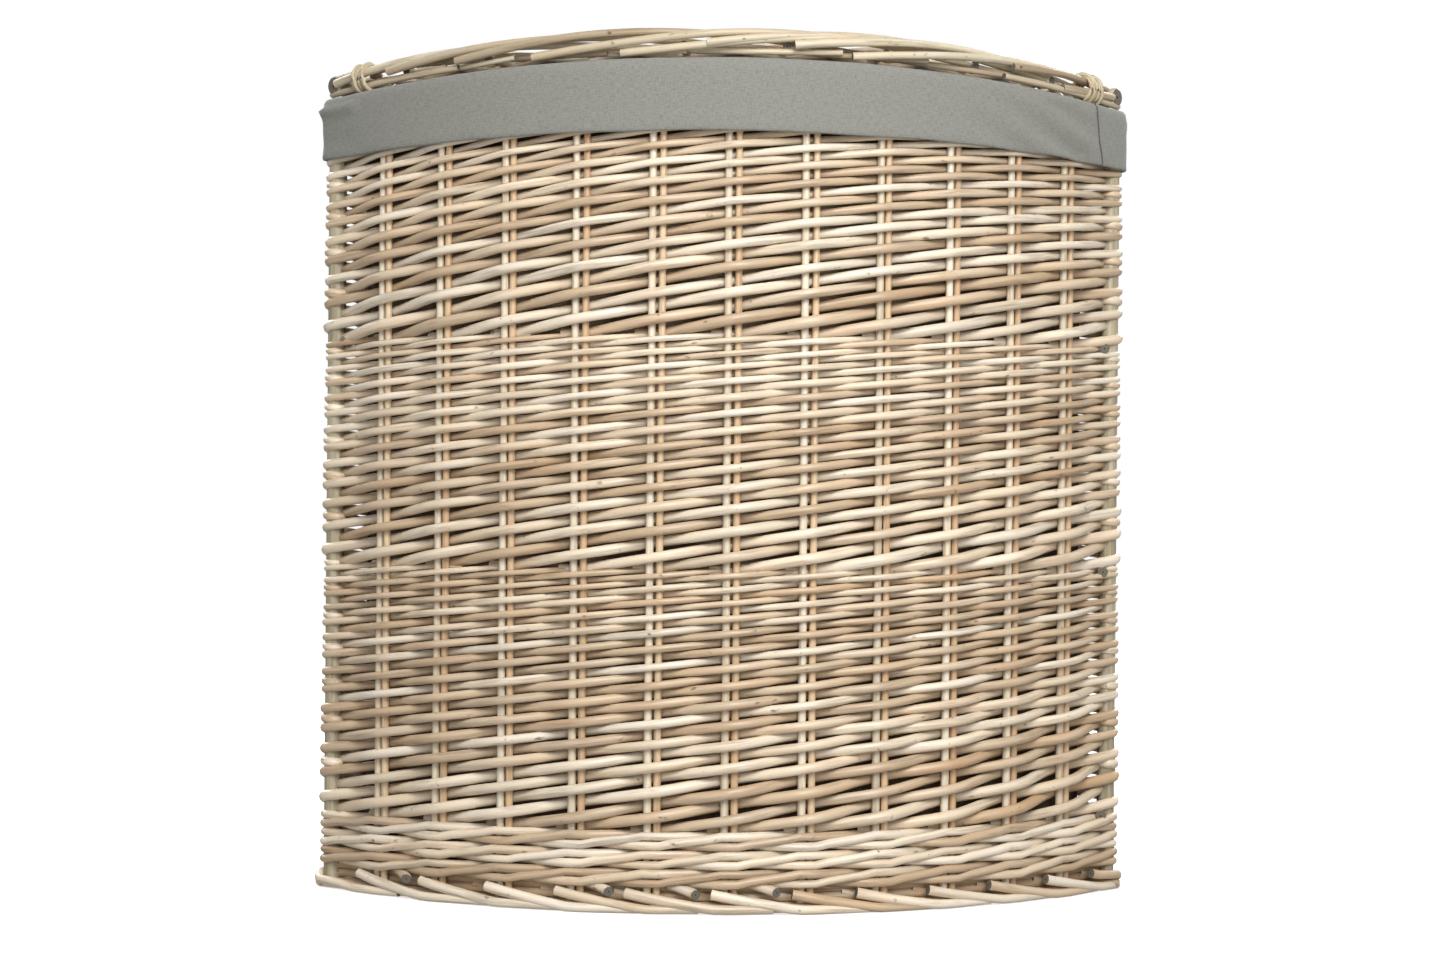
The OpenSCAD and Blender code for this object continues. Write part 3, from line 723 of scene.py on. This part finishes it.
# Liner: one sewn sheet, hung inside as a bag and turned over the rim as a cuff
liner = {
    "spacing": 3.6 * mm,
    "cornerSpacing": 1.9 * mm,
    "cloth": 0.9 * mm,
    "inside": 11.9 * mm,  # inside the wall's centre line
    "insideCut": 6 * mm,  # the bag's corners are rounded off by this much
    "outside": 10.3 * mm,
    "corner": 10.0 * mm,
    "rim": 1.0 * mm,  # lies this far above the rim
    "turn": 5 * mm,  # the turn over the rim ends this far down
    "hem": 494.0 * mm,
    "hemRise": 7.5 * mm,
    "hemWave": 0.9 * mm,
    "slack": 2.2 * mm,  # the bag hangs this far off the wall
    "foldDepth": 3.8 * mm,
    "foldSlope": 0.53,
    "foldRate": 260,  # radians a metre, so a fold every 24 mm
    "folded": 110 * mm,  # the folds' reach to the left of the seam
    "seamIn": 13 * mm,  # the side seam runs this far before the right front post
    "seamLean": 4.5 * mm,  # from top to hem
    "seamLift": 0.6 * mm,
    "seamRadius": 0.55 * mm,
    "slit": 7 * mm,  # a hinge loop comes through each
    "straight": 42 * mm,  # half of the back's stretch whose columns run straight over the rim
    "insideRows": 34,
    "outsideRows": 14,
}
loopX = middle("hinge_loop_right").x


def mirrored(p):
    return Vector((-p.x, p.y, 0))


def innerCorners():
    # The bag's corners in the plan; the front ones are where its arc meets the line along the slanted side
    inset = liner["inside"]
    slant = half - inset * math.sqrt(2) + frontLeft.y
    low, high = 30.0, 50.0
    for halving in range(40):
        angle = (low + high) / 2
        p = arcPoint(angle, arcRadius - inset)
        low, high = (angle, high) if p.x + p.y < slant else (low, angle)
    front = arcPoint(low, arcRadius - inset)
    back = backRight.y - inset
    right = Vector((slant - back, back, 0))
    return low, [mirrored(front), front, right, mirrored(right)]


innerAngle, innerCorner = innerCorners()


def linerColumns():
    # The sheet's columns: where each runs inside and outside, and its wall, 0 to 3 from the front; f is its place
    # along that wall, and less than 0 in the corner before it
    columns = []

    def column(inner, outer, out, crown, wall, f):
        columns.append({"inner": inner, "outer": outer, "out": out, "crown": crown, "wall": wall, "f": f})

    for w in range(4):
        corner, following = stations[cornerStations[w]], stations[cornerStations[(w + 1) % 4]]
        a, b, before = innerCorner[w], innerCorner[(w + 1) % 4], innerCorner[w - 1]
        turn = corner["out"] - corner["in"]
        steps = max(6, int(math.radians(turn) * liner["corner"] / liner["cornerSpacing"]))
        entry = a + (before - a).normalized() * liner["insideCut"]
        leave = a + (b - a).normalized() * liner["insideCut"]
        for k in range(steps):
            f = k / steps
            out = outward(corner["in"] + turn * f)
            inner = entry * (1 - f) ** 2 + a * 2 * f * (1 - f) + leave * f * f
            column(inner, corner["at"] + out * liner["corner"], out, 0, w, f - 1)
        steps = int((following["at"] - corner["at"]).length / liner["spacing"])
        for k in range(steps):
            f = k / steps
            if w == 0:
                angle = innerAngle * (2 * (0.017 + 0.966 * f) - 1)
                spread = corner["out"] + (following["in"] - corner["out"]) * f
                ease = min(1, 12 * f, 12 * (1 - f))
                reach = liner["corner"] + (liner["outside"] - liner["corner"]) * ease
                place = arcPoint(spread, arcRadius + reach)
                inner = arcPoint(angle, arcRadius - liner["inside"])
                column(inner, place, outward(spread), crownAt(place.x), w, f)
                continue
            out = outward(corner["out"])
            inner = leave.lerp(b + (a - b).normalized() * liner["insideCut"], f)
            reach = liner["outside"] if 0.04 < f < 0.96 else liner["corner"]
            place = corner["at"].lerp(following["at"], f) + out * reach
            if w == 2:  # the slits' edges run straight over the rim
                beyond = max(0, abs(place.x) - liner["straight"])
                squeeze = (leave.x - liner["straight"]) / (corner["at"].x - liner["straight"])
                inner.x = math.copysign(min(abs(place.x), liner["straight"]) + beyond * squeeze, place.x)
            column(inner, place, out, 0, w, f)
    backColumns = [c for c in columns if c["wall"] == 2 and c["f"] >= 0]
    for centre in (-loopX, loopX):  # columns run along both edges of each slit
        for edge in (centre - liner["slit"] / 2, centre + liner["slit"] / 2):
            gaps = [abs(c["outer"].x - edge) for c in backColumns]
            nearest = backColumns[gaps.index(min(gaps))]
            nearest["outer"] = Vector((edge, nearest["outer"].y, 0))
            nearest["inner"] = Vector((edge, nearest["inner"].y, 0))
    return columns


def linerProfile():
    # Rows of the sheet from the bag's foot to the folded hem: share of the way outside, kind, value
    rows = [(0, "bag", k / liner["insideRows"]) for k in range(liner["insideRows"] + 1)]
    rows += [(w, "top", z * mm) for w, z in (
        (0.015, -2.2), (0.06, -0.3), (0.14, 0.7), (0.3, 1.2), (0.5, 1.5), (0.7, 1.3), (0.85, 0.8), (0.94, -0.2),
        (0.985, -2.2), (1.0, -5))]
    rows += [(1.0, "cuff", k / liner["outsideRows"]) for k in range(1, liner["outsideRows"] + 1)]
    rows += [(w, "hem", z * mm) for w, z in ((0.985, -0.9), (0.955, -1.0), (0.93, 0.4), (0.925, 6), (0.92, 11))]
    return rows


def hump(x, centre, width):
    return math.exp(-((x - centre) / width) ** 2)


def seamAt(down):
    seam = stations[plan["frontCount"] + 1]["at"].x - liner["seamIn"]
    return seam + liner["seamLean"] * (down - 0.5)


def cuffPush(column, down, z, soft, fine):
    # How far the cuff stands off its own plane; down runs from 0 at the top to 1 at the hem
    wall, f, x = column["wall"], column["f"], column["outer"].x
    push = (0.35 + 0.7 * soft + 0.35 * fine) * mm * (0.3 + 0.7 * down)
    if (wall == 0 or (wall == 1 and f < 0)) and x > 0:  # soft folds run down towards the right corner
        share = min(1, max(0, (seamAt(0.5) - x) / liner["folded"]))
        fold = math.sin((z + liner["foldSlope"] * x) * liner["foldRate"])
        push += liner["foldDepth"] * min(1, share * 6) * (1 - share) * fold * (0.4 + 0.6 * down)
        if column["out"].y < -0.5:  # the seam lies in a groove
            groove = abs(x - seamAt(down)) / mm
            push += (0.5 * hump(groove, 4.5, 2.5) - 1.3 * hump(groove, 0, 2.2)) * mm
    if wall == 0 and f < 0.05:  # the left corner flares at the top and is drawn in below
        push += (3.4 * hump(down, 0.03, 0.15) - 0.6 * hump(down, 0.72, 0.2)) * mm
    if wall == 1 and -0.7 < f < 0.08:  # the right corner swells at the top and is drawn in in the middle
        push += (1.5 * math.cos((down - 0.12) * 6.4) - 1.0) * mm
    return push


def makeLiner():
    columns = linerColumns()
    rows = linerProfile()
    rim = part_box("top_border")[1].z - plan["crown"]
    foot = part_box("liner_base_panel")[1].z - 0.6 * mm
    alongLengths = [0]
    for a, b in zip(columns, columns[1:] + columns[:1]):
        alongLengths.append(alongLengths[-1] + (b["outer"] - a["outer"]).length)
    slitColumns = set()
    for i, (a, b) in enumerate(zip(columns, columns[1:] + columns[:1])):
        if a["wall"] == 2 and a["f"] >= 0:
            centre = (a["outer"].x + b["outer"].x) / 2
            if min(abs(centre - loopX), abs(centre + loopX)) < liner["slit"] / 2:
                slitColumns.add(i)

    def place(i, j):
        column = columns[i % len(columns)]
        across, kind, value = rows[j]
        u = alongLengths[i % len(columns)]
        soft = noise.noise(Vector((u * 16, j * 0.05, 3.1)))
        fine = noise.noise(Vector((u * 60, j * 0.22, 9.1)))
        wave = liner["hemWave"] * noise.noise(Vector((u * 22, 0.3, 5)))
        hemLine = liner["hem"] + liner["hemRise"] * column["crown"] / plan["crown"] + wave
        top = rim + liner["rim"] + column["crown"]
        turnEnd = top - liner["turn"]
        push = 0.0
        if kind == "bag":
            z = foot + (turnEnd - foot) * value
            push = -(liner["slack"] + (2.4 * soft + 0.8 * fine) * mm) * math.sin(math.pi * min(1, value * 1.02))
        elif kind == "top":
            z = top + value + 0.5 * mm * soft
        elif kind == "cuff":
            z = turnEnd + (hemLine - turnEnd) * value
            push = cuffPush(column, value, z, soft, fine)
        else:
            z = hemLine + value
            push = cuffPush(column, 1, z, soft, fine)
        ground = column["inner"].lerp(column["outer"], across) + column["out"] * push
        return Vector((ground.x, ground.y, z))

    count, height = len(columns), len(rows) - 1
    lengths = [0]  # down the sheet, measured in the middle of the front's left half
    for j in range(height):
        lengths.append(lengths[-1] + (place(count // 8, j + 1) - place(count // 8, j)).length)
    work = bmesh.new()
    layer = work.loops.layers.uv.new("UVMap")
    bmesh.ops.create_grid(work, x_segments=count, y_segments=height, size=0.5)
    spots = {v: (round((v.co.x + 0.5) * count), round((v.co.y + 0.5) * height)) for v in work.verts}
    for face in work.faces:
        face.smooth = True
        for corner in face.loops:
            i, j = spots[corner.vert]
            corner[layer].uv = (alongLengths[i], lengths[j])
    cut = [f for f in work.faces if min(spots[v][0] for v in f.verts) in slitColumns
           and min(spots[v][1] for v in f.verts) > liner["insideRows"] - 3]
    for v, (i, j) in spots.items():
        v.co = place(i, j)
    bmesh.ops.delete(work, geom=cut, context="FACES")
    bmesh.ops.remove_doubles(work, verts=work.verts, dist=0.01 * mm)
    bmesh.ops.recalc_face_normals(work, faces=work.faces)
    seamLine = []
    for j in range(liner["insideRows"] + 5, len(rows) - 3):
        across, kind, value = rows[j]
        x = seamAt({"top": 0, "cuff": value, "hem": 1}[kind])
        i = next(i for i, c in enumerate(columns)
                 if c["wall"] == 0 and c["outer"].x <= x < columns[i + 1]["outer"].x)
        left, right = columns[i]["outer"].x, columns[i + 1]["outer"].x
        spot = place(i, j).lerp(place(i + 1, j), (x - left) / (right - left))
        seamLine.append(spot + columns[i]["out"] * liner["seamLift"])
    piece = addPiece("liner", work, [linerLinen, linerShadeBack])
    thick = piece.modifiers.new("cloth", "SOLIDIFY")
    thick.thickness = liner["cloth"]
    thick.offset = 0
    # The sheet's other face takes the dark brown painted shade
    thick.material_offset = 1
    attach(piece, "basket")
    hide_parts("liner_front_panel", "liner_left_panel", "liner_right_panel", "liner_back_panel",
                "cuff_front", "cuff_left", "cuff_right", "cuff_back")
    seamRod = {"points": seamLine, "radii": [liner["seamRadius"]] * len(seamLine), "tone": 0.5}
    sewn = addRods("linerSeam", [seamRod], seamThread, "basket", [], sides=6, twist="MINIMUM",
                   end=seamThread)
    print("made liner, flat", round(alongLengths[-1], 3), "by", round(lengths[-1], 3))


# Liner base: a flat panel sewn to the bag's foot, laid on the woven base
linerBase = {"rings": (6 * mm, 14 * mm, 26 * mm, 34 * mm, 34 * mm), "under": 0.8 * mm, "ripple": 1.2 * mm}


def makeLinerBase():
    low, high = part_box("liner_base_panel")
    work = bmesh.new()
    layer = work.loops.layers.uv.new("UVMap")
    rim = [work.verts.new((c["inner"].x, c["inner"].y, high.z - linerBase["under"])) for c in linerColumns()[::3]]
    area = work.faces.new(rim).calc_area()
    for ring in linerBase["rings"]:
        inside = [f for f in work.faces if len(f.verts) > 4]
        bmesh.ops.inset_region(work, faces=inside, thickness=ring, use_even_offset=False)
    bmesh.ops.triangulate(work, faces=[f for f in work.faces if len(f.verts) > 4])
    for v in work.verts:
        if not v.is_boundary:
            v.co.z += linerBase["ripple"] * noise.noise(v.co * 14)
    for face in work.faces:
        face.smooth = True
        for corner in face.loops:
            corner[layer].uv = (corner.vert.co.x, corner.vert.co.y)
    bmesh.ops.recalc_face_normals(work, faces=work.faces)
    piece = addPiece("linerBase", work, [linerLinen])
    thick = piece.modifiers.new("cloth", "SOLIDIFY")
    thick.thickness = liner["cloth"]
    thick.offset = 0
    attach(piece, "basket")
    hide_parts("liner_base_panel")
    print("made linerBase, flat area", round(area, 4))


makeLiner()
makeLinerBase()

# Base: sticks with rods woven over and under them
baseWeave = {
    "pitch": 5.0 * mm,
    "radius": 2.4 * mm,
    "stickRadius": 2.4 * mm,
    "stickCount": 7,
    "stickSpacing": 56 * mm,
    "margin": 6 * mm,
    "shortest": 30 * mm,  # half of the shortest rod
    "wander": 0.5 * mm,
    "seed": 500,
}


def makeBase():
    low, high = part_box("base_weave")
    z = (low.z + high.z) / 2
    rng = random.Random(baseWeave["seed"])
    sticks = [(i - baseWeave["stickCount"] // 2) * baseWeave["stickSpacing"] for i in range(baseWeave["stickCount"])]
    rods = []
    for j in range(int((high.y - low.y - 8 * mm) / baseWeave["pitch"])):
        y = low.y + baseWeave["margin"] + j * baseWeave["pitch"]
        reach = min(half - 14 * mm, frontLeft.y + half - y - 16 * mm)
        if y < frontLeft.y:
            reach = min(reach, math.sqrt(max(0, (arcRadius - 13 * mm) ** 2 - (arcCentre.y - y) ** 2)))
        if reach < baseWeave["shortest"]:
            continue
        r = baseWeave["radius"] * rng.uniform(0.9, 1.08)
        points = [Vector((-reach, y, z))]
        for i, x in enumerate(sticks):
            if abs(x) > reach - 8 * mm:
                continue
            side = (1 if (i + j) % 2 else -1) * (baseWeave["stickRadius"] + r)
            points += [Vector((x + dx * mm, y, z + side * share))
                       for dx, share in ((-20, 0.35), (-6, 0.92), (0, 1), (6, 0.92), (20, 0.35))]
        points.append(Vector((reach, y, z)))
        rod = {"points": points, "radii": [r] * len(points), "tone": rng.random()}
        rods.append(wander(rod, baseWeave["wander"], j))
    addRods("baseWeave", rods, wovenWillow, "basket", ["base_weave"], sides=8)
    coverNode("base_sticks", lengthStickWillow)


makeBase()

# Lid: side sticks and ribs fan out from the hinge stick, with rods woven through them
lid = {
    "ribCount": 8,
    "ribRadius": 3.0 * mm,
    "ribStart": 8 * mm,  # in front of the hinge stick's middle
    "stickRadius": 6.4 * mm,
    "stickRear": 5.5 * mm,
    "stickOverrun": 5 * mm,
    "stickChamfer": 0.8 * mm,
    "stickCutChamfer": 0.9 * mm,
    "rowPitch": 4.5 * mm,
    "weaverRadius": 2.35 * mm,
    "ribPress": 0.9,  # of a weaver's radius, where it crosses a rib
    "stickPress": 0.85,
    "rearClear": 19 * mm,
    "frontClear": 9 * mm,
    "rodPoints": (130, 190),  # the shortest and longest weavers
    "seed": 600,
}
hinge = middle("lid_hinge_stick")
lastRib = lid["ribCount"] + 1
ribPitch = (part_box("lid_rib_ties")[1].x - 1.5 * mm) / ((lid["ribCount"] - 1) / 2)


def ribLine(k):
    # Rear and front ends of a rib; 0 and the last one are the side sticks
    if k in (0, lastRib):
        side = -1 if k == 0 else 1
        return Vector((side * backRight.x, hinge.y, hinge.z)), Vector((side * half, frontLeft.y, hinge.z))
    front = arcPoint(plan["frontHalfAngle"] * (2 * k / lastRib - 1), arcRadius)
    rear = Vector(((k - lastRib / 2) * ribPitch, hinge.y - lid["ribStart"], hinge.z))
    return rear, front + up * (hinge.z + crownAt(front.x))


def makeLidSticks():
    for node, name, k in (("lid_left_stick", "lidLeftStick", 0), ("lid_right_stick", "lidRightStick", lastRib)):
        rear, front = ribLine(k)
        way = (front - rear).normalized()
        start = rear - way * lid["stickRear"]
        length = (front - rear).length + lid["stickRear"] + lid["stickOverrun"]
        count = 16
        points = [start + way * length * i / count for i in range(count + 1)]
        radii = [lid["stickRadius"] * (1.0 + 0.015 * math.sin(i * 2.1)) for i in range(count + 1)]
        a, b = lid["stickChamfer"], lid["stickCutChamfer"]
        points = [points[0], points[0] + way * a] + points[1:-1] + [points[-1] - way * b, points[-1]]
        radii = [radii[0] - a] + radii + [radii[-1] - b]
        rod = {"points": points, "radii": radii, "tone": 0.3 + 0.05 * k}
        addRods(name, [rod], lidStickWillow, "lid", [node], sides=20)


def makeLidRibs():
    rng = random.Random(lid["seed"])
    rods = []
    count = 12
    for k in range(1, lastRib):
        rear, front = ribLine(k)
        points = [rear.lerp(front, i / count) for i in range(count + 1)]
        radii = [lid["ribRadius"] * (1.0 - 0.06 * i / count) for i in range(count + 1)]
        rods.append(wander({"points": points, "radii": radii, "tone": rng.random()}, 0.3 * mm, k))
    addRods("lidRibs", rods, stakeWillow, "lid", ["lid_ribs"])


def makeLidWeave():
    rng = random.Random(lid["seed"] + 1)
    lines = []
    for k in range(lastRib + 1):
        rear, front = ribLine(k)
        way = (front - rear).normalized()
        flatWay = Vector((way.x, way.y, 0)).normalized()
        rearGap = (rear.y - (hinge.y - lid["rearClear"])) / -flatWay.y
        frontGap = lid["frontClear"] + (14 * mm if k in (0, lastRib) else 4 * mm)
        lines.append((rear + way * rearGap, front - way * frontGap))
    rowCount = int((lines[4][1] - lines[4][0]).length / lid["rowPitch"])
    path = []
    for j in range(rowCount):
        t = (j + 0.5) / rowCount
        order = list(range(lastRib + 1))[::1 if j % 2 == 0 else -1]
        sides = [1 if (k + j) % 2 else -1 for k in order]
        r = lid["weaverRadius"] * (0.82 + 0.18 * t)
        ribReach = lid["ribRadius"] + lid["ribPress"] * r
        stickReach = lid["stickRadius"] + lid["stickPress"] * r
        spots = [lines[k][0].lerp(lines[k][1], t) for k in order]
        for n, k in enumerate(order):
            p, side = spots[n], sides[n]
            if k in (0, lastRib):
                path.append((p + up * side * stickReach, r))
                if n == 0:
                    for f in (0.35, 0.6, 0.8):
                        s = f * f * (3 - 2 * f)
                        rise = side * stickReach * (1 - s) + sides[1] * ribReach * s
                        path.append((p.lerp(spots[1], f) + up * rise, r))
                elif j < rowCount - 1:  # round the stick and back in the next row
                    centre = p.lerp(lines[k][0].lerp(lines[k][1], (j + 1.5) / rowCount), 0.5)
                    away = Vector((-1 if k == 0 else 1, 0.6, 0)).normalized()
                    for out, rise in ((0.72, 0.7), (1, 0), (0.72, -0.7)):
                        path.append((centre + away * stickReach * out + up * side * stickReach * rise, r))
                continue
            gap = spots[n + 1] - spots[n]
            step = (spots[n + 1] - spots[n - 1]).normalized() * min(3 * mm, gap.length * 0.2)
            path.append((p - step + up * side * ribReach, r))
            path.append((p + step + up * side * ribReach, r))
            nextReach = stickReach if order[n + 1] in (0, lastRib) else ribReach
            for f in (0.3, 0.5, 0.7):
                s = f * f * (3 - 2 * f) * 0.7 + f * 0.3
                rise = side * ribReach * (1 - s) + sides[n + 1] * nextReach * s
                path.append((p.lerp(spots[n + 1], f) + up * rise, r))
    rods = []
    start = 0
    while start < len(path) - 20:
        end = min(len(path), start + rng.randint(*lid["rodPoints"]))
        part = path[start:end]
        fat = rng.uniform(0.96, 1.1)
        radii = [r * (fat - 0.2 * i / len(part)) for i, (p, r) in enumerate(part)]
        rod = {"points": [p for p, r in part], "radii": radii, "tone": rng.random()}
        rods.append(wander(rod, 0.35 * mm, start))
        start = end - 2
    addRods("lidWeave", rods, wovenWillow, "lid", ["lid_weave"], sides=8)


# Front border: long rods laid round each other like a loose rope, a new one starting every few centimetres
lidBorder = {
    "strands": 11,
    "length": 370 * mm,
    "turns": 0.85,
    "firstTurn": -38,  # degrees
    "reach": 4.9 * mm,
    "swell": 2.3 * mm,  # looser in the middle of the front
    "radius": 2.65 * mm,
    "drop": 2.0 * mm,
    "endGap": 0.5,  # degrees
    "tailFrom": 30,  # a thin rod's end runs on past the last strand, under the stick, in degrees from the middle
    "tailTo": 48.6,
    "tailRadius": 2.2 * mm,
    "wander": 0.5 * mm,
    "seed": 700,
}


def lidBorderCentre(degrees):
    low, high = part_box("lid_front_border")
    place = arcPoint(degrees, arcRadius)
    crown = crownAt(place.x)
    swell = lidBorder["swell"] * crown / plan["crown"]
    return place + up * ((low.z + high.z - plan["crown"]) / 2 - lidBorder["drop"] + crown + swell)


def makeLidBorder():
    rng = random.Random(lidBorder["seed"])
    limit = plan["frontHalfAngle"] - lidBorder["endGap"]
    arcLength = math.radians(2 * limit) * arcRadius
    spacing = arcLength / lidBorder["strands"]
    count = 48
    rods = []
    for i in range(-int(lidBorder["length"] / spacing), lidBorder["strands"]):
        start = (i + rng.uniform(-0.2, 0.2)) * spacing
        r = lidBorder["radius"] * rng.uniform(0.88, 1.1)
        phase = rng.uniform(-30, 50)
        loose = rng.uniform(0.85, 1.12)
        points, radii = [], []
        for k in range(count + 1):
            f = k / count
            s = start + lidBorder["length"] * f
            if not 0 <= s <= arcLength:
                continue
            degrees = -limit + 2 * limit * s / arcLength
            turn = math.radians(lidBorder["firstTurn"] + phase + 360 * lidBorder["turns"] * f)
            centre = lidBorderCentre(degrees)
            swell = lidBorder["swell"] * crownAt(centre.x) / plan["crown"]
            reach = (lidBorder["reach"] + swell) * (1.12 - 0.3 * f) * loose
            points.append(centre + outward(degrees) * reach * math.cos(turn) + up * reach * math.sin(turn))
            radii.append(r * (1.05 - 0.38 * f))
        if len(points) > 3:
            rod = {"points": points, "radii": radii, "tone": rng.random()}
            rods.append(wander(rod, lidBorder["wander"], i + 40))
    tailPoints = 13
    for side in (-1, 1):
        tail = []
        for k in range(tailPoints):
            reached = (lidBorder["tailTo"] - lidBorder["tailFrom"]) * k / (tailPoints - 1)
            degrees = side * (lidBorder["tailFrom"] + reached)
            tail.append(lidBorderCentre(degrees) - up * 5.5 * mm + outward(degrees) * 3 * mm)
        rods.append({"points": tail, "radii": [lidBorder["tailRadius"]] * tailPoints, "tone": 0.4})
    addRods("lidFrontBorder", rods, greyWillow, "lid", ["lid_front_border"])


# Bindings: willow skein wound round the border's ends, four turns and a crossing one
binding = {
    "in": 30 * mm,  # from the border's end
    "radius": 1.4 * mm,
    "reach": 8.3 * mm,
    "width": 6.0 * mm,  # half of it
    "turns": 4,
    "crossTurns": 1.5,
    "crossReach": 1.3 * mm,
    "pointsATurn": 20,
}


def makeBinding(side, node, name):
    place = side * (plan["frontHalfAngle"] - math.degrees(binding["in"] / arcRadius))

    def turns(count, first, last, reach):
        points = []
        total = count * binding["pointsATurn"]
        for k in range(int(total) + 1):
            f = k / total
            degrees = place + math.degrees((first + (last - first) * f) / arcRadius)
            a = 2 * math.pi * count * f - 1.2
            outReach = reach * math.cos(a) * 0.98
            points.append(lidBorderCentre(degrees) + outward(degrees) * outReach + up * reach * math.sin(a))
        return {"points": points, "radii": [binding["radius"]] * len(points), "tone": 0.5}

    wide = binding["width"]
    rods = [turns(binding["turns"], -wide, wide, binding["reach"]),
            turns(binding["crossTurns"], wide * 1.1, -wide * 1.05, binding["reach"] + binding["crossReach"])]
    addRods(name, rods, skeinWillow, "lid", [node], sides=8)


makeLidSticks()
makeLidRibs()
makeLidWeave()
makeLidBorder()
makeBinding(-1, "lid_binding_left", "lidBindingLeft")
makeBinding(1, "lid_binding_right", "lidBindingRight")
for node, material in (("lid_hinge_stick", crossStickWillow), ("lid_rib_ties", crossStickWillow),
                       ("hinge_loop_left", postWillow), ("hinge_loop_right", postWillow)):
    coverNode(node, material)
print("lid woven and hung on its loops")

# Floor, camera and light
studio = {
    "cameraPlace": (-0.080, -1.891, 0.269),
    "cameraLook": (0.0427, 0.999, 0),
    "roll": 0.5,  # degrees
    "lens": 67.4,
    "shiftY": 0.0085,
    "ambient": 0.42,
    "floorSize": 12,
    "floorGlow": 0.6,
    "lightsAim": (0, 0, 0.3),
}
softboxes = {
    "key": {"at": (0.14, -1.32, 1.02), "size": (0.5, 0.6), "watts": 15.5},
    "leftStrip": {"at": (-0.72, -1.30, 0.55), "size": (0.14, 1.0), "watts": 1.9},
    "rightBox": {"at": (0.62, -1.42, 0.60), "size": (0.3, 1.1), "watts": 5.0},
    "overhead": {"at": (0.0, -0.6, 2.4), "size": (2.0, 2.0), "watts": 7},
    "backLeft": {"at": (-1.4, 1.6, 1.5), "size": (1.0, 1.0), "watts": 26},
    "backRight": {"at": (1.4, 1.6, 1.5), "size": (1.0, 1.0), "watts": 26},
}
white = (1, 1, 1, 1)


def addFloor():
    # Painted board, rolled matt white: it keeps only a soft shadow under the foot
    m = newMaterial("matt white floor")
    shade = addNode(m, "TexNoise", {"Scale": 3.0})
    colour = addNode(m, "ValToRGB", {"Fac": shade, "stops": [(0.0, "fbfbfa"), (1.0, "ffffff")]})
    finishMaterial(m, {"Roughness": 0.9, "Specular IOR Level": 0.1, "Emission Color": white,
                       "Emission Strength": studio["floorGlow"], "Base Color": colour})
    work = bmesh.new()
    bmesh.ops.create_grid(work, x_segments=1, y_segments=1, size=studio["floorSize"])
    floor = addPiece("floor", work, [m])
    floor.visible_diffuse = False  # it glows for the camera alone
    floor.visible_glossy = False


def addCamera():
    data = bpy.data.cameras.new("camera")
    data.lens = studio["lens"]
    data.sensor_width = 36
    data.shift_y = studio["shiftY"]
    data.clip_end = 50
    camera = addObject("camera", data)
    camera.location = studio["cameraPlace"]
    roll = Quaternion((0, 0, 1), math.radians(studio["roll"]))
    camera.rotation_euler = (Vector(studio["cameraLook"]).to_track_quat("-Z", "Y") @ roll).to_euler()
    bpy.context.scene.camera = camera


def addLights():
    for name, box in softboxes.items():
        data = bpy.data.lights.new(name, "AREA")
        data.shape = "RECTANGLE"
        data.size, data.size_y = box["size"]
        data.energy = box["watts"]
        light = addObject(name, data)
        light.location = box["at"]
        light.visible_camera = False
        aim = Vector(studio["lightsAim"]) - Vector(box["at"])
        light.rotation_euler = aim.to_track_quat("-Z", "Y").to_euler()
    # The camera sees a plain white backdrop, and the basket a dimmer sky
    world = bpy.data.worlds.new("studio")
    world.use_nodes = True
    bpy.context.scene.world = world
    links, worldNodes = world.node_tree.links, world.node_tree.nodes
    sky = worldNodes["Background"]
    sky.inputs["Color"].default_value = white
    sky.inputs["Strength"].default_value = studio["ambient"]
    backdrop = addNode(world, "Background", {"Color": white})
    rays = addNode(world, "LightPath", {}, "Is Camera Ray")
    join = addNode(world, "MixShader", {0: rays, 1: sky.outputs[0], 2: backdrop})
    links.new(join, worldNodes["World Output"].inputs[0])
    bpy.context.scene.view_settings.view_transform = "Standard"


addFloor()
addCamera()
addLights()
print("floor, camera and lights ready")
